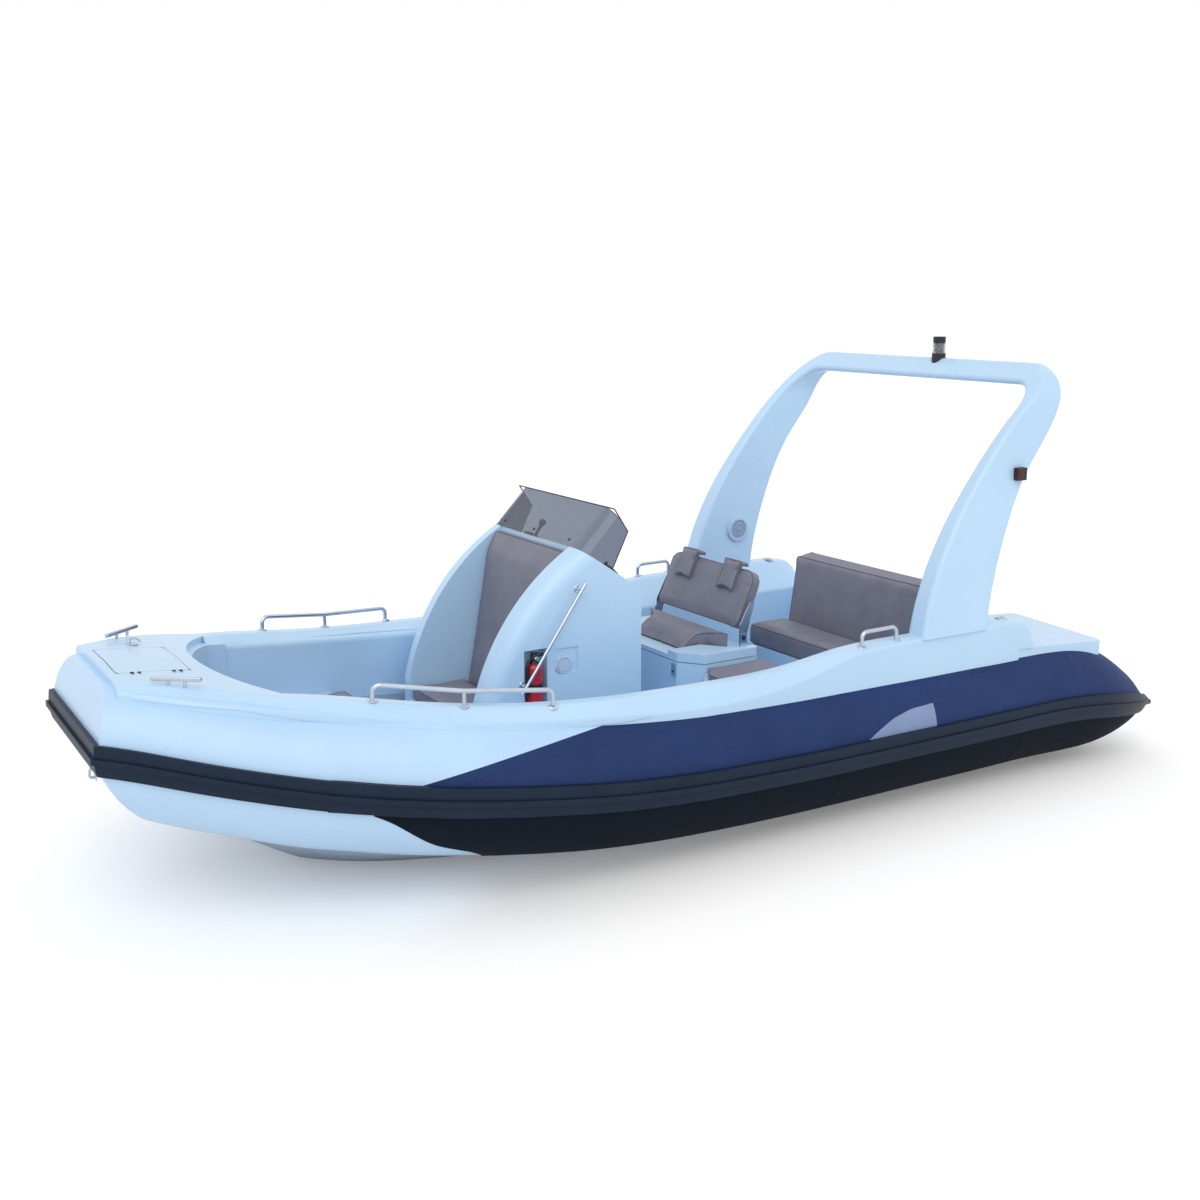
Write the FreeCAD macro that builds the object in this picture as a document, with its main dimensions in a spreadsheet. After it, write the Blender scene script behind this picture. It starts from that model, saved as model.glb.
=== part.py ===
# Rigid inflatable boat with a console, a helm seat, a rear bench and a roll arch.
# Frame: +X to the bow, +Y to port, +Z up. The origin is amidships on the centreline,
# in the plane of the waterline. Every length is in millimetres.
import FreeCAD, Part
import math
import os
from FreeCAD import Placement, Rotation, Vector

doc = FreeCAD.newDocument("RigidInflatable")
sheet = doc.addObject("Spreadsheet::Sheet", "Sizes")

SIZES = {
    # Hull and collar
    "bow_reach": 2860, "stern_reach": 2700, "half_beam": 1265, "bow_sheer": 845,
    "tube_radius": 375, "tube_end": 3300, "bow_block_start": 2000, "keel_draught": 200,
    "soft_gap": 0.3,
    "bow_face_height": 730, "bow_face_bulge": 145, "bow_foot_bulge": 225, "keel_end": 2670,
    "liner_wall": 30, "deck_wall": 27, "strake_half_height": 69, "strake_depth": 24,
    "strake_inset": 305.5,
    "ridge_half_height": 14, "ridge_depth": 38, "wear_skin": 5,
    # Deck and cockpit
    "gunwale_height": 960, "deck_start": 2100, "deck_aft_end": 2050, "coaming_end": 2165,
    "deck_edge_round": 34,
    "crown_width": 70, "deck_camber": 12, "cockpit_end": 2290, "sole_top": 280,
    "sole_thickness": 24, "bow_platform_aft": 1400, "bow_platform_top": 620,
    "bow_platform_slab": 80, "foredeck_front": 2752, "deck_overhang": 20,
    "bow_cushion_front": 2010, "bow_cushion_half": 450, "bow_cushion_thickness": 80,
    "bow_cushion_nose_round": 60, "bow_cushion_round": 30,
    # Stern
    "transom_foot": 2330, "transom_thickness": 58, "transom_rake": 12, "transom_top": 620,
    "well_half_width": 420, "platform_end": 2790, "platform_top": 822, "platform_fall": 50,
    "platform_edge_top": 790, "platform_foot": 700, "platform_foot_fall": 45,
    "platform_edge": 1110, "platform_round": 45, "bulkhead_thickness": 30, "bulkhead_top": 700,
    "bolt_radius": 6.5, "bolt_drop": 50, "bolt_pitch": 203, "upper_bolts": 327, "lower_bolts": 251,
    # Bow locker
    "locker_length": 330, "locker_width": 480, "locker_aft": 2385, "locker_depth": 260,
    "lid_thickness": 18, "lid_gap": 5, "lid_round": 30, "hinge_radius": 5, "hinge_length": 46,
    "hinge_leaf": 3, "hinge_reach": 34, "lid_leaf": 20, "hinge_offset": 8, "hinge_play": 0.5,
    # Console
    "console_centre": -177, "console_width": 1040, "console_aft": 20, "console_front": 980,
    "console_rim_x": 385, "console_rim": 1478, "dash_aft": 120, "dash_low": 1300,
    "wing_start": 640, "wing_bulge": 112, "wing_thickness": 135, "wing_round": 90,
    "recess_top_x": 372, "recess_foot_x": 545, "recess_floor": 540, "front_seat_thickness": 80,
    "front_back_thickness": 88, "front_back_lean": 110, "front_back_drop": 9,
    "front_back_top_round": 20, "front_back_round": 60,
    "niche_aft": 600, "niche_front": 735, "niche_bottom": 665, "niche_top": 990,
    "niche_depth": 62, "extinguisher_radius": 43, "extinguisher_height": 250,
    "recess_plate": 136, "recess_plate_depth": 8, "recess_gap": 49, "socket_radius": 36,
    "socket_shift": 19, "socket_drop": 23, "socket_depth": 12,
    "screen_thickness": 6, "screen_foot": 204, "screen_rise": 200, "screen_lean": 195,
    "screen_round": 100, "screen_aft_drop": 125, "screen_aft_run": 84,
    "grab_low_fore": 10, "grab_low_rise": 145, "grab_high_fore": 30, "grab_high_drop": 20,
    "panel_length": 190, "panel_width": 420, "panel_height": 12, "panel_side": 60,
    "throttle_length": 110, "throttle_width": 70, "throttle_height": 45, "throttle_side": -300,
    "lever_radius": 9, "lever_length": 130,
    # Helm
    "wheel_radius": 165, "wheel_rim": 13, "wheel_height": 1110, "wheel_tilt": 20,
    "wheel_offset": 150, "column_radius": 28,
    "helm_centre": -167, "helm_width": 955, "helm_front": -320, "helm_aft": -800,
    "helm_chamfer_x": 100, "helm_chamfer_y": 130, "helm_round": 20, "helm_aft_round": 25,
    "helm_box_top": 745, "helm_wall": 22, "lid_seam": 5, "helm_lid_thickness": 25,
    "shoulder_height": 25, "shoulder_gap": 10, "cushion_waist": 235, "cushion_aft_gap": 130,
    "cushion_front_half": 262, "cushion_rear_half": 417, "cushion_fore": -410, "cushion_crest": -520,
    "cushion_thickness": 85, "cushion_rise": 25, "cushion_waist_round": 60,
    "cushion_crest_round": 45, "cushion_back_round": 20,
    "backrest_width": 840, "backrest_height": 365, "backrest_low_round": 60,
    "backrest_high_round": 85,
    "backrest_thickness": 72, "backrest_lean": 23, "backrest_foot": 895, "backrest_x": -690,
    "pivot_x": -730, "pivot_height": 850, "pivot_hole": 8, "pivot_bolt": 7.5,
    "arm_thickness": 6, "arm_gap": 1, "arm_foot": 20, "arm_foot_round": 18, "arm_half": 16,
    "arm_fore": 30, "arm_round": 12, "bracket_thickness": 8, "bracket_half": 24,
    "bracket_rise": 22,
    "headrest_width": 165, "headrest_drop": 165, "headrest_thickness": 30,
    "headrest_round": 8, "headrest_fold_round": 14,
    "latch_side": 20, "latch_depth": 14, "latch_half": 16, "latch_drop": 80, "latch_seam": 4,
    "side_seat_width": 285, "side_seat_top": 695, "side_cushion": 40, "seat_gap": 12,
    "side_seat_aft": 830, "side_seat_fore": 330, "side_seat_round": 25, "side_seat_cut_x": 90,
    "side_seat_cut_y": 120, "side_cushion_inset": 8,
    # Rear bench
    "bench_front": -1205, "bench_aft": -1750, "bench_starboard": -300, "bench_port": 845,
    "bench_base_top": 632, "bench_cushion": 132, "bench_back_top": 1185, "bench_back_foot": -1492,
    "bench_back_thickness": 150, "bench_back_lean": 75, "bench_round": 35, "bench_foot_round": 15,
    "bench_back_round": 25, "bench_overhang": 10, "bench_inset": 5, "bench_board": 30,
    "bench_board_drop": 40,
    # Roll arch
    "arch_outer": 1140, "arch_inner": 1000, "arch_top": 2385, "arch_opening_top": 2262,
    "arch_foot": 948, "arch_round": 24, "arch_corner": 230, "arch_opening_corner": 150,
    # Fittings
    "rail_radius": 11, "rail_height": 72, "rail_end": 40, "light_radius": 42,
    "light_height": 125, "light_aft": 2295, "light_side": 130, "speaker_radius": 82,
    "speaker_depth": 16, "speaker_aft": 1638, "speaker_height": 1213,
    "side_light": 70, "side_light_depth": 40, "side_light_aft": 1975, "side_light_out": 1085,
    "side_light_height": 1797, "fitting_round": 4,
    "cleat_place": 2520, "cleat_side": 500, "cleat_length": 225, "cleat_width": 20,
    "cleat_height": 42, "cleat_turn": 37,
    "handle_fore": 886, "handle_aft": 1130, "handle_side": 1075,
}
BOW_RAIL_SHARES = ((0.6066, 0.6047), (0.4685, 0.6988), (0.3266, 0.7787))

for row, (alias, value) in enumerate(SIZES.items(), start=1):
    sheet.set(f"A{row}", alias)
    sheet.set(f"B{row}", str(value))
    sheet.setAlias(f"B{row}", alias)
doc.recompute()


def mm(alias):
    """The number in the sheet's cell of that name."""
    return float(sheet.get(alias))


# Sheer line of the collar: place along the boat, widest point, its height and the radius,
# as shares of the bow's reach, the half beam, the bow's sheer height and the tube's radius.
SHEER_SHARES = (
    (-1.154, 0.8474, 0.3254, 0.032), (-1.136, 0.862, 0.339, 0.116), (-1.101, 0.905, 0.365, 0.323),
    (-1.049, 0.953, 0.401, 0.575), (-0.979, 0.991, 0.444, 0.811), (-0.892, 1.006, 0.486, 0.964),
    (-0.804, 1.000, 0.505, 1.000), (-0.490, 1.000, 0.511, 1.000), (-0.175, 1.000, 0.521, 1.000),
    (0.070, 0.992, 0.544, 0.995), (0.227, 0.972, 0.574, 0.987), (0.420, 0.913, 0.640, 0.973),
    (0.619, 0.798, 0.728, 0.947), (0.734, 0.708, 0.799, 0.920), (0.829, 0.628, 0.878, 0.888),
    (0.892, 0.561, 0.923, 0.853), (0.962, 0.455, 0.970, 0.790), (1.010, 0.370, 1.003, 0.740),
)

# Gunwale: place along the boat, inner edge, crown height, outer edge and its height, as
# shares of the bow's reach, the half beam and the gunwale's height.
GUNWALE_SHARES = (
    (-0.757, 0.790, 0.865, 0.885, 0.855), (-0.745, 0.790, 0.940, 0.885, 0.935),
    (-0.717, 0.790, 0.995, 0.885, 0.990), (-0.455, 0.790, 1.000, 0.885, 0.993),
    (-0.315, 0.790, 1.000, 0.885, 0.981), (-0.210, 0.787, 0.969, 0.885, 0.927),
    (-0.122, 0.779, 0.932, 0.885, 0.854), (0.070, 0.763, 0.922, 0.877, 0.833),
    (0.227, 0.747, 0.930, 0.850, 0.859), (0.350, 0.715, 0.950, 0.814, 0.883),
    (0.469, 0.652, 0.979, 0.763, 0.911), (0.607, 0.557, 1.042, 0.672, 0.984),
    (0.734, 0.474, 1.094, 0.589, 1.042), (0.829, 0.400, 1.147, 0.520, 1.085),
    (0.892, 0.340, 1.172, 0.450, 1.115), (0.962, 0.250, 1.187, 0.345, 1.155),
)

# Keel: place along the boat and height, as shares of the bow's reach and the draught.
KEEL_SHARES = (
    (-0.944, -1.00), (0.282, -1.00), (0.417, -0.905), (0.535, -0.63), (0.591, -0.39),
    (0.646, -0.05), (0.698, 0.415), (0.749, 0.895), (0.816, 1.335), (0.895, 1.93), (0.934, 2.33),
)

BODIES_TO_WRITE = []


def along(table_shares, share):
    """One row of a share table at any place, by a smooth cubic between the rows given."""
    places = [row[0] for row in table_shares]
    last = len(places) - 1
    k = 0
    while k < last - 1 and places[k + 1] < share:
        k += 1
    span = places[k + 1] - places[k]
    part = (share - places[k]) / span

    def slope(i, column):
        low, high = max(i - 1, 0), min(i + 1, last)
        rise = table_shares[high][column] - table_shares[low][column]
        return rise / (places[high] - places[low])

    values = []
    for column in range(1, len(table_shares[0])):
        start, end = table_shares[k][column], table_shares[k + 1][column]
        first, final = slope(k, column) * span, slope(k + 1, column) * span
        values.append((2 * part**3 - 3 * part**2 + 1) * start + (part**3 - 2 * part**2 + part) * first
                      + (3 * part**2 - 2 * part**3) * end + (part**3 - part**2) * final)
    return values


def sheer_at(x):
    """Widest point, its height and the tube's radius at one place along the boat."""
    wide, height, radius = along(SHEER_SHARES, x / mm("bow_reach"))
    return wide * mm("half_beam"), height * mm("bow_sheer"), radius * mm("tube_radius")


def gunwale_at(x):
    """Inner edge, crown height, outer edge and outer height of the gunwale."""
    inner, crown, outer, height = along(GUNWALE_SHARES, x / mm("bow_reach"))
    beam, tall = mm("half_beam"), mm("gunwale_height")
    return inner * beam, crown * tall, outer * beam, height * tall


def keel_at(x):
    """Height of the keel at one place along the boat."""
    return along(KEEL_SHARES, x / mm("bow_reach"))[0] * mm("keel_draught")


def core_at(x):
    """Half breadth of the hull inside the collar."""
    wide, height, radius = sheer_at(x)
    return wide - radius


def stations(start, end, count):
    """Evenly spaced places along the boat."""
    return [start + (end - start) * i / (count - 1) for i in range(count)]


def rounded_edges(corners):
    """Edges of a closed outline from corners given as (point, radius)."""
    ends, arcs = [], []
    count = len(corners)
    for i, (point, radius) in enumerate(corners):
        before, after = corners[i - 1][0], corners[(i + 1) % count][0]
        if radius == 0:
            ends.append((point, point))
            arcs.append(None)
            continue
        to_before, to_after = (before - point).normalize(), (after - point).normalize()
        turn = to_before.getAngle(to_after)
        reach = radius / math.tan(turn / 2)
        start, end = point + to_before * reach, point + to_after * reach
        middle_way = (to_before + to_after).normalize()
        centre = point + middle_way * (radius / math.sin(turn / 2))
        arcs.append(Part.Arc(start, centre - middle_way * radius, end).toShape())
        ends.append((start, end))
    edges = []
    for i in range(count):
        if arcs[i]:
            edges.append(arcs[i])
        edges.append(Part.makeLine(ends[i][1], ends[(i + 1) % count][0]))
    return edges


def outline(corners, plane, level=0):
    """A closed wire in XY, XZ or YZ from (first, second, radius) corners."""
    place = {
        "XY": lambda u, v: Vector(u, v, level),
        "XZ": lambda u, v: Vector(u, level, v),
        "YZ": lambda u, v: Vector(level, u, v),
    }[plane]
    return Part.Wire(rounded_edges([(place(u, v), radius) for u, v, radius in corners]))


def prism(corners, plane, start, end):
    """A straight solid on an outline, between two levels of the third axis."""
    face = Part.Face(outline(corners, plane, start))
    way = {"XY": Vector(0, 0, 1), "XZ": Vector(0, 1, 0), "YZ": Vector(1, 0, 0)}[plane]
    return face.extrude(way * (end - start))


def box(x, y, z):
    """A block from three (low, high) pairs."""
    return Part.makeBox(x[1] - x[0], y[1] - y[0], z[1] - z[0], Vector(x[0], y[0], z[0]))


def mirrored(shape):
    """The same shape on the other side of the centreline."""
    return shape.mirror(Vector(0, 0, 0), Vector(0, 1, 0))


def bound(kind, label, **formulas):
    """A parametric object whose properties follow cells of the sheet."""
    item = doc.addObject(kind, label)
    for name, formula in formulas.items():
        item.setExpression(name.replace("__", "."), formula)
    return item


def keep_object(item):
    """Keep a parametric object as a sub-part of its own name."""
    BODIES_TO_WRITE.append(item)
    return item


def keep(label, shape):
    """Store a finished sub-part, formed by lofts and booleans, as an object of the document."""
    item = doc.addObject("Part::Feature", label)
    item.Label = label
    place = Placement(shape.Placement)
    item.Shape = shape
    item.Placement = place
    BODIES_TO_WRITE.append(item)
    return item


def keep_both(label, *shapes):
    """Store pieces and their mirrors on the other side as one sub-part."""
    keep(label, Part.makeCompound(list(shapes) + [mirrored(shape) for shape in shapes]))


def joined(shapes):
    """One shape from several that touch."""
    return shapes[0].fuse(shapes[1:]).removeSplitter()


def group(shapes):
    """Like pieces that do not touch, as one node."""
    return Part.makeCompound(shapes)


TOP = mm("gunwale_height") * 3
BOTTOM = -TOP


# Collar
def ring_places():
    """Places of the tube's rings, closer together on the stern cone."""
    cone = stations(-mm("tube_end"), -mm("stern_reach"), 8)
    return cone[:-1] + stations(-mm("stern_reach"), mm("bow_block_start"), 14)


def tube(growth, inset=0):
    """The port tube as a whole round form, or a smaller round form shifted to its outer side."""
    rings = []
    for x in ring_places():
        wide, height, radius = sheer_at(x)
        part = radius / mm("tube_radius")
        centre = Vector(x, wide - radius + inset * part, height)
        around = radius + growth - inset * part
        rings.append(Part.Wire(Part.makeCircle(around, centre, Vector(1, 0, 0))))
    return Part.makeLoft(rings, True, False)


def bow_block(growth):
    """The bow, where the two tubes run together into one full-width form."""
    rings = []
    for x in stations(mm("bow_block_start"), mm("bow_reach") + mm("strake_depth") * 2, 9):
        wide, height, radius = sheer_at(x)
        core, around = wide - radius, radius + growth
        top, bottom = height + around, height - around
        port = Part.Arc(Vector(x, core, bottom), Vector(x, core + around, height),
                        Vector(x, core, top))
        starboard = Part.Arc(Vector(x, -core, top), Vector(x, -core - around, height),
                             Vector(x, -core, bottom))
        rings.append(Part.Wire([
            port.toShape(), Part.makeLine(Vector(x, core, top), Vector(x, -core, top)),
            starboard.toShape(), Part.makeLine(Vector(x, -core, bottom), Vector(x, core, bottom))]))
    return Part.makeLoft(rings, True, False).common(bow_limit(growth))


def bow_limit(growth):
    """Everything aft of the bow's face, bulged above its middle and raked back below it."""
    half, middle = mm("bow_face_height") / 2, mm("bow_sheer")
    front, aft = mm("bow_reach") + growth, -2 * mm("tube_end")
    crest = Vector(front, BOTTOM, middle)
    high = Vector(front - mm("bow_face_bulge"), BOTTOM, middle + half)
    low = Vector(front - mm("bow_foot_bulge"), BOTTOM, middle - half)
    upper, lower = Part.BezierCurve(), Part.BezierCurve()
    upper.setPoles([high, Vector(front, BOTTOM, middle + half / 2), crest])
    lower.setPoles([crest, Vector(front, BOTTOM, middle - half / 2), low])
    corners = [low, Vector(low.x, BOTTOM, BOTTOM), Vector(aft, BOTTOM, BOTTOM), Vector(aft, BOTTOM, TOP),
               Vector(high.x, BOTTOM, TOP), high]
    lines = [Part.makeLine(corners[i], corners[i + 1]) for i in range(len(corners) - 1)]
    return Part.Face(Part.Wire([upper.toShape(), lower.toShape()] + lines)).extrude(Vector(0, 2 * TOP, 0))


def band_places():
    """Places along the sheer line from the tube's tip to the bow."""
    cone = stations(-mm("tube_end"), -mm("stern_reach"), 6)
    return cone[:-1] + stations(-mm("stern_reach"), mm("bow_reach"), 14)


def sheer_band(half_height):
    """A band along the sheer line, as wide as the world, to cut the rubbing strake from."""
    places = band_places() + [mm("bow_reach") * 1.1]
    heights = [sheer_at(min(x, mm("bow_reach")))[1] for x in places]
    upper, lower = Part.BSplineCurve(), Part.BSplineCurve()
    upper.interpolate([Vector(x, BOTTOM, z + half_height) for x, z in zip(places, heights)])
    lower.interpolate([Vector(x, BOTTOM, z - half_height) for x, z in zip(places, heights)])
    ends = [(places[0], heights[0]), (places[-1], heights[-1])]
    walls = [Part.makeLine(Vector(x, BOTTOM, z - half_height), Vector(x, BOTTOM, z + half_height))
             for x, z in ends]
    wire = Part.Wire(Part.sortEdges([upper.toShape(), lower.toShape()] + walls)[0])
    return Part.Face(wire).extrude(Vector(0, 2 * TOP, 0))


def inner_plan(offset, start, end):
    """Plan outline of the hull inside the collar, set in by an offset."""
    places = stations(start, end, 12)
    port = Part.BSplineCurve()
    port.interpolate([Vector(x, core_at(x) - offset, 0) for x in places])
    starboard = Part.BSplineCurve()
    starboard.interpolate([Vector(x, offset - core_at(x), 0) for x in places])
    return places, port, starboard


def cockpit(offset, low, nose):
    """The open space of the cockpit, with its rounded end under the foredeck."""
    start, end = -mm("deck_aft_end"), mm("deck_start")
    places, port, starboard = inner_plan(offset, start, end)
    half = core_at(end) - offset
    aft = core_at(start) - offset
    bow = Part.Arc(Vector(end, half, 0), Vector(nose, 0, 0), Vector(end, -half, 0))
    wire = Part.Wire(Part.sortEdges([
        port.toShape(), bow.toShape(), starboard.toShape(),
        Part.makeLine(Vector(start, aft, 0), Vector(start, -aft, 0))])[0])
    floor = Part.Face(wire)
    floor.translate(Vector(0, 0, low))
    return floor.extrude(Vector(0, 0, TOP))


def core_solid():
    """Everything inboard of the collar's inner plane."""
    places, port, starboard = inner_plan(0, -mm("stern_reach"), mm("bow_block_start"))
    ends = [Part.makeLine(Vector(x, core_at(x), 0), Vector(x, -core_at(x), 0))
            for x in (places[0], places[-1])]
    wire = Part.Wire(Part.sortEdges([port.toShape(), starboard.toShape()] + ends)[0])
    floor = Part.Face(wire)
    floor.translate(Vector(0, 0, BOTTOM))
    return floor.extrude(Vector(0, 0, 2 * TOP))


# Where the white of the bow meets the navy of the sides, seen from the side, as shares of
# the bow's reach and the bow's sheer height.
COLOUR_LINE_SHARES = ((0.055, 1.06), (0.09, 0.965), (0.36, 0.90), (0.50, 0.83), (0.60, 0.765),
                      (0.600, 0.60), (0.525, 0.41), (0.450, 0.29), (0.415, 0.178), (0.385, -0.05))


def aft_of_colour_line():
    """Everything abaft the line where the bow's white ends."""
    reach, tall = mm("bow_reach"), mm("bow_sheer")
    line = Part.BSplineCurve()
    line.interpolate([Vector(u * reach, BOTTOM, v * tall) for u, v in COLOUR_LINE_SHARES[1:5]])
    lower = Part.BSplineCurve()
    lower.interpolate([Vector(u * reach, BOTTOM, v * tall) for u, v in COLOUR_LINE_SHARES[4:]])
    first, second, last = COLOUR_LINE_SHARES[0], COLOUR_LINE_SHARES[1], COLOUR_LINE_SHARES[-1]
    aft = -2 * reach
    corners = [Vector(last[0] * reach, BOTTOM, last[1] * tall), Vector(aft, BOTTOM, last[1] * tall),
               Vector(aft, BOTTOM, first[1] * tall), Vector(first[0] * reach, BOTTOM, first[1] * tall),
               Vector(second[0] * reach, BOTTOM, second[1] * tall)]
    lines = [Part.makeLine(corners[i], corners[i + 1]) for i in range(len(corners) - 1)]
    wire = Part.Wire([line.toShape(), lower.toShape()] + lines)
    return Part.Face(wire).extrude(Vector(0, 2 * TOP, 0))


def platform_slab(low_fall, high):
    """The stern platform's plan between its sloping underside and a height, or all above it."""
    fore, aft = -mm("deck_aft_end"), -mm("platform_end")
    side, edge = mm("well_half_width"), mm("platform_edge")
    corners = [(fore, mm("platform_foot"), 0), (aft, mm("platform_foot") - low_fall, 0),
               (aft, high, 0), (fore, high, 0)]
    return prism(corners, "XZ", side, edge)


above_platform = platform_slab(mm("platform_foot_fall"), TOP)
port_tube = tube(0).cut(core_solid()).cut(above_platform)
platform_low = mm("bow_platform_top") - mm("bow_platform_slab")
fore_of_platform = box((mm("bow_platform_aft"), TOP), (-TOP, TOP), (BOTTOM, platform_low))
open_cockpit = cockpit(mm("liner_wall"), mm("sole_top") - mm("sole_thickness"), mm("cockpit_end"))
open_cockpit = open_cockpit.cut(fore_of_platform)
bow_form = bow_block(0)
navy_region = aft_of_colour_line()
navy = port_tube.common(navy_region)
white_side = port_tube.cut(navy_region)
keep_both("side_tubes", navy)


# Hull
def under_sheer(gap):
    """Everything under the sheer line, raised by a gap."""
    places = band_places()
    points = [Vector(x, -TOP, sheer_at(x)[1] + gap) for x in places]
    line = Part.BSplineCurve()
    line.interpolate(points)
    corners = [points[-1], Vector(places[-1], -TOP, BOTTOM), Vector(places[0], -TOP, BOTTOM),
               points[0]]
    lines = [Part.makeLine(corners[i], corners[i + 1]) for i in range(3)]
    return Part.Face(Part.Wire([line.toShape()] + lines)).extrude(Vector(0, 2 * TOP, 0))


def hull_form():
    """The whole V hull inside the collar's inner planes."""
    rings = []
    for x in stations(-mm("stern_reach"), mm("keel_end"), 16):
        wide, height, radius = sheer_at(x)
        core = wide - radius
        top = height + mm("liner_wall")
        corners = [(0, keel_at(x)), (core, height - radius), (core, top), (-core, top),
                   (-core, height - radius)]
        points = [Vector(x, y, z) for y, z in corners]
        rings.append(Part.makePolygon(points + points[:1]))
    return Part.makeLoft(rings, True, False)


def transom_slab(thickness, low, high, half):
    """The raked board between the wells, as a slanted slab."""
    lean = math.tan(math.radians(mm("transom_rake")))
    foot = -mm("transom_foot")
    corners = [(foot - z * lean + side, z, 0) for z, side in (
        (low, -thickness), (low, 0), (high, 0), (high, -thickness))]
    return prism(corners, "XZ", -half, half)


hull = hull_form().common(bow_limit(0)).common(under_sheer(0))
behind_transom = transom_slab(TOP, BOTTOM, TOP, mm("well_half_width"))
sheer_height_aft = sheer_at(-mm("stern_reach"))[1]
board = transom_slab(mm("transom_thickness"), BOTTOM, mm("transom_top"), mm("well_half_width"))
board_low = board.common(hull)
board_high = board.common(box((-TOP, TOP), (-TOP, TOP), (sheer_height_aft / 2, TOP)))
transom = joined([board_low, board_high])
bolts = []
rake = math.radians(mm("transom_rake"))
bolt_way = Vector(-math.cos(rake), 0, -math.sin(rake))
bolt_rows = ((mm("bolt_drop"), mm("upper_bolts")),
             (mm("bolt_drop") + mm("bolt_pitch"), mm("lower_bolts")))
for drop, spacing in bolt_rows:
    for side in (-1, 1):
        height = mm("transom_top") - drop * math.cos(rake)
        face_x = -mm("transom_foot") - height * math.tan(rake)
        start = Vector(face_x, side * spacing / 2, height) - bolt_way * mm("transom_thickness")
        bolts.append(Part.makeCylinder(mm("bolt_radius"), mm("transom_thickness") * 3, start,
                                       bolt_way))
transom = transom.cut(bolts)
hull = hull.cut(open_cockpit).cut(bow_form).cut(behind_transom)
hull = hull.cut([port_tube, mirrored(port_tube)])
keep("hull", hull)
keep("transom", transom)

sole = open_cockpit.common(box((-TOP, TOP), (-TOP, TOP),
                               (mm("sole_top") - mm("sole_thickness"), mm("sole_top"))))
keep("cockpit_sole", sole)
platform = open_cockpit.common(box((mm("bow_platform_aft"), TOP), (-TOP, TOP),
                                   (platform_low, mm("bow_platform_top"))))
keep("bow_platform", platform)

# Bow: the forward tubes and the full-width nose in one piece
locker_front = mm("locker_aft") + mm("locker_length")
locker_half = mm("locker_width") / 2
locker_space = box((mm("locker_aft"), locker_front), (-locker_half, locker_half),
                   (mm("bow_sheer") + mm("tube_radius") * 0.8 - mm("locker_depth"), TOP))
bow = bow_form.fuse([white_side, mirrored(white_side)]).removeSplitter()
bow = bow.cut(open_cockpit).cut(locker_space)
keep("collar_bow", bow)

# Rubbing strake and lower wear panels
whole_tube, whole_bow = tube(0), bow_block(0)
strake_body = tube(mm("strake_depth"), mm("strake_inset")).common(sheer_band(mm("strake_half_height")))
ridge = tube(mm("ridge_depth")).common(sheer_band(mm("ridge_half_height")))
outboard = box((-2 * TOP, TOP), (core_at(-mm("tube_end")), TOP), (BOTTOM, TOP))
strake_side = strake_body.fuse(ridge.cut(core_solid()).common(outboard)).cut(whole_tube)
strake_bow = bow_block(mm("strake_depth")).common(sheer_band(mm("strake_half_height")))
ridge_bow = bow_block(mm("ridge_depth")).common(sheer_band(mm("ridge_half_height")))
strake_bow = strake_bow.fuse(ridge_bow).cut(whole_bow)
strake_bow = strake_bow.cut(box((-TOP, mm("bow_block_start")), (-TOP, TOP), (BOTTOM, TOP)))
strake = group([strake_bow, strake_side, mirrored(strake_side)])
keep("rubbing_strake", strake)

# Dark wear panels under the strake, from their forward boundary aft
PANEL_SHARES = ((0.640, 0.640), (0.622, 0.608), (0.540, 0.411), (0.462, 0.290), (0.430, 0.178),
                (0.400, 0.0))


def panel_region():
    """Aft of the panels' forward edge and below the strake."""
    reach, tall = mm("bow_reach"), mm("bow_sheer")
    line = Part.BSplineCurve()
    line.interpolate([Vector(u * reach, BOTTOM, v * tall) for u, v in PANEL_SHARES])
    first, last = PANEL_SHARES[0], PANEL_SHARES[-1]
    corners = [Vector(last[0] * reach, BOTTOM, last[1] * tall), Vector(last[0] * reach, BOTTOM, -tall),
               Vector(-2 * reach, BOTTOM, -tall), Vector(-2 * reach, BOTTOM, TOP),
               Vector(first[0] * reach, BOTTOM, TOP), Vector(first[0] * reach, BOTTOM, first[1] * tall)]
    lines = [Part.makeLine(corners[i], corners[i + 1]) for i in range(len(corners) - 1)]
    return Part.Face(Part.Wire([line.toShape()] + lines)).extrude(Vector(0, 2 * TOP, 0))


def below_strake():
    """Everything under the strake's lower edge."""
    places = band_places()
    heights = [sheer_at(x)[1] - mm("strake_half_height") for x in places]
    upper = Part.BSplineCurve()
    upper.interpolate([Vector(x, BOTTOM, z) for x, z in zip(places, heights)])
    corners = [Vector(places[-1], BOTTOM, heights[-1]), Vector(places[-1], BOTTOM, BOTTOM),
               Vector(places[0], BOTTOM, BOTTOM), Vector(places[0], BOTTOM, heights[0])]
    lines = [Part.makeLine(corners[i], corners[i + 1]) for i in range(3)]
    return Part.Face(Part.Wire([upper.toShape()] + lines)).extrude(Vector(0, 2 * TOP, 0))


panel = tube(mm("wear_skin")).cut(whole_tube).cut(core_solid())
panel = panel.common(panel_region()).common(below_strake())
panel = panel.cut([hull, strake_side])
keep_both("wear_panels", panel)


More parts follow.
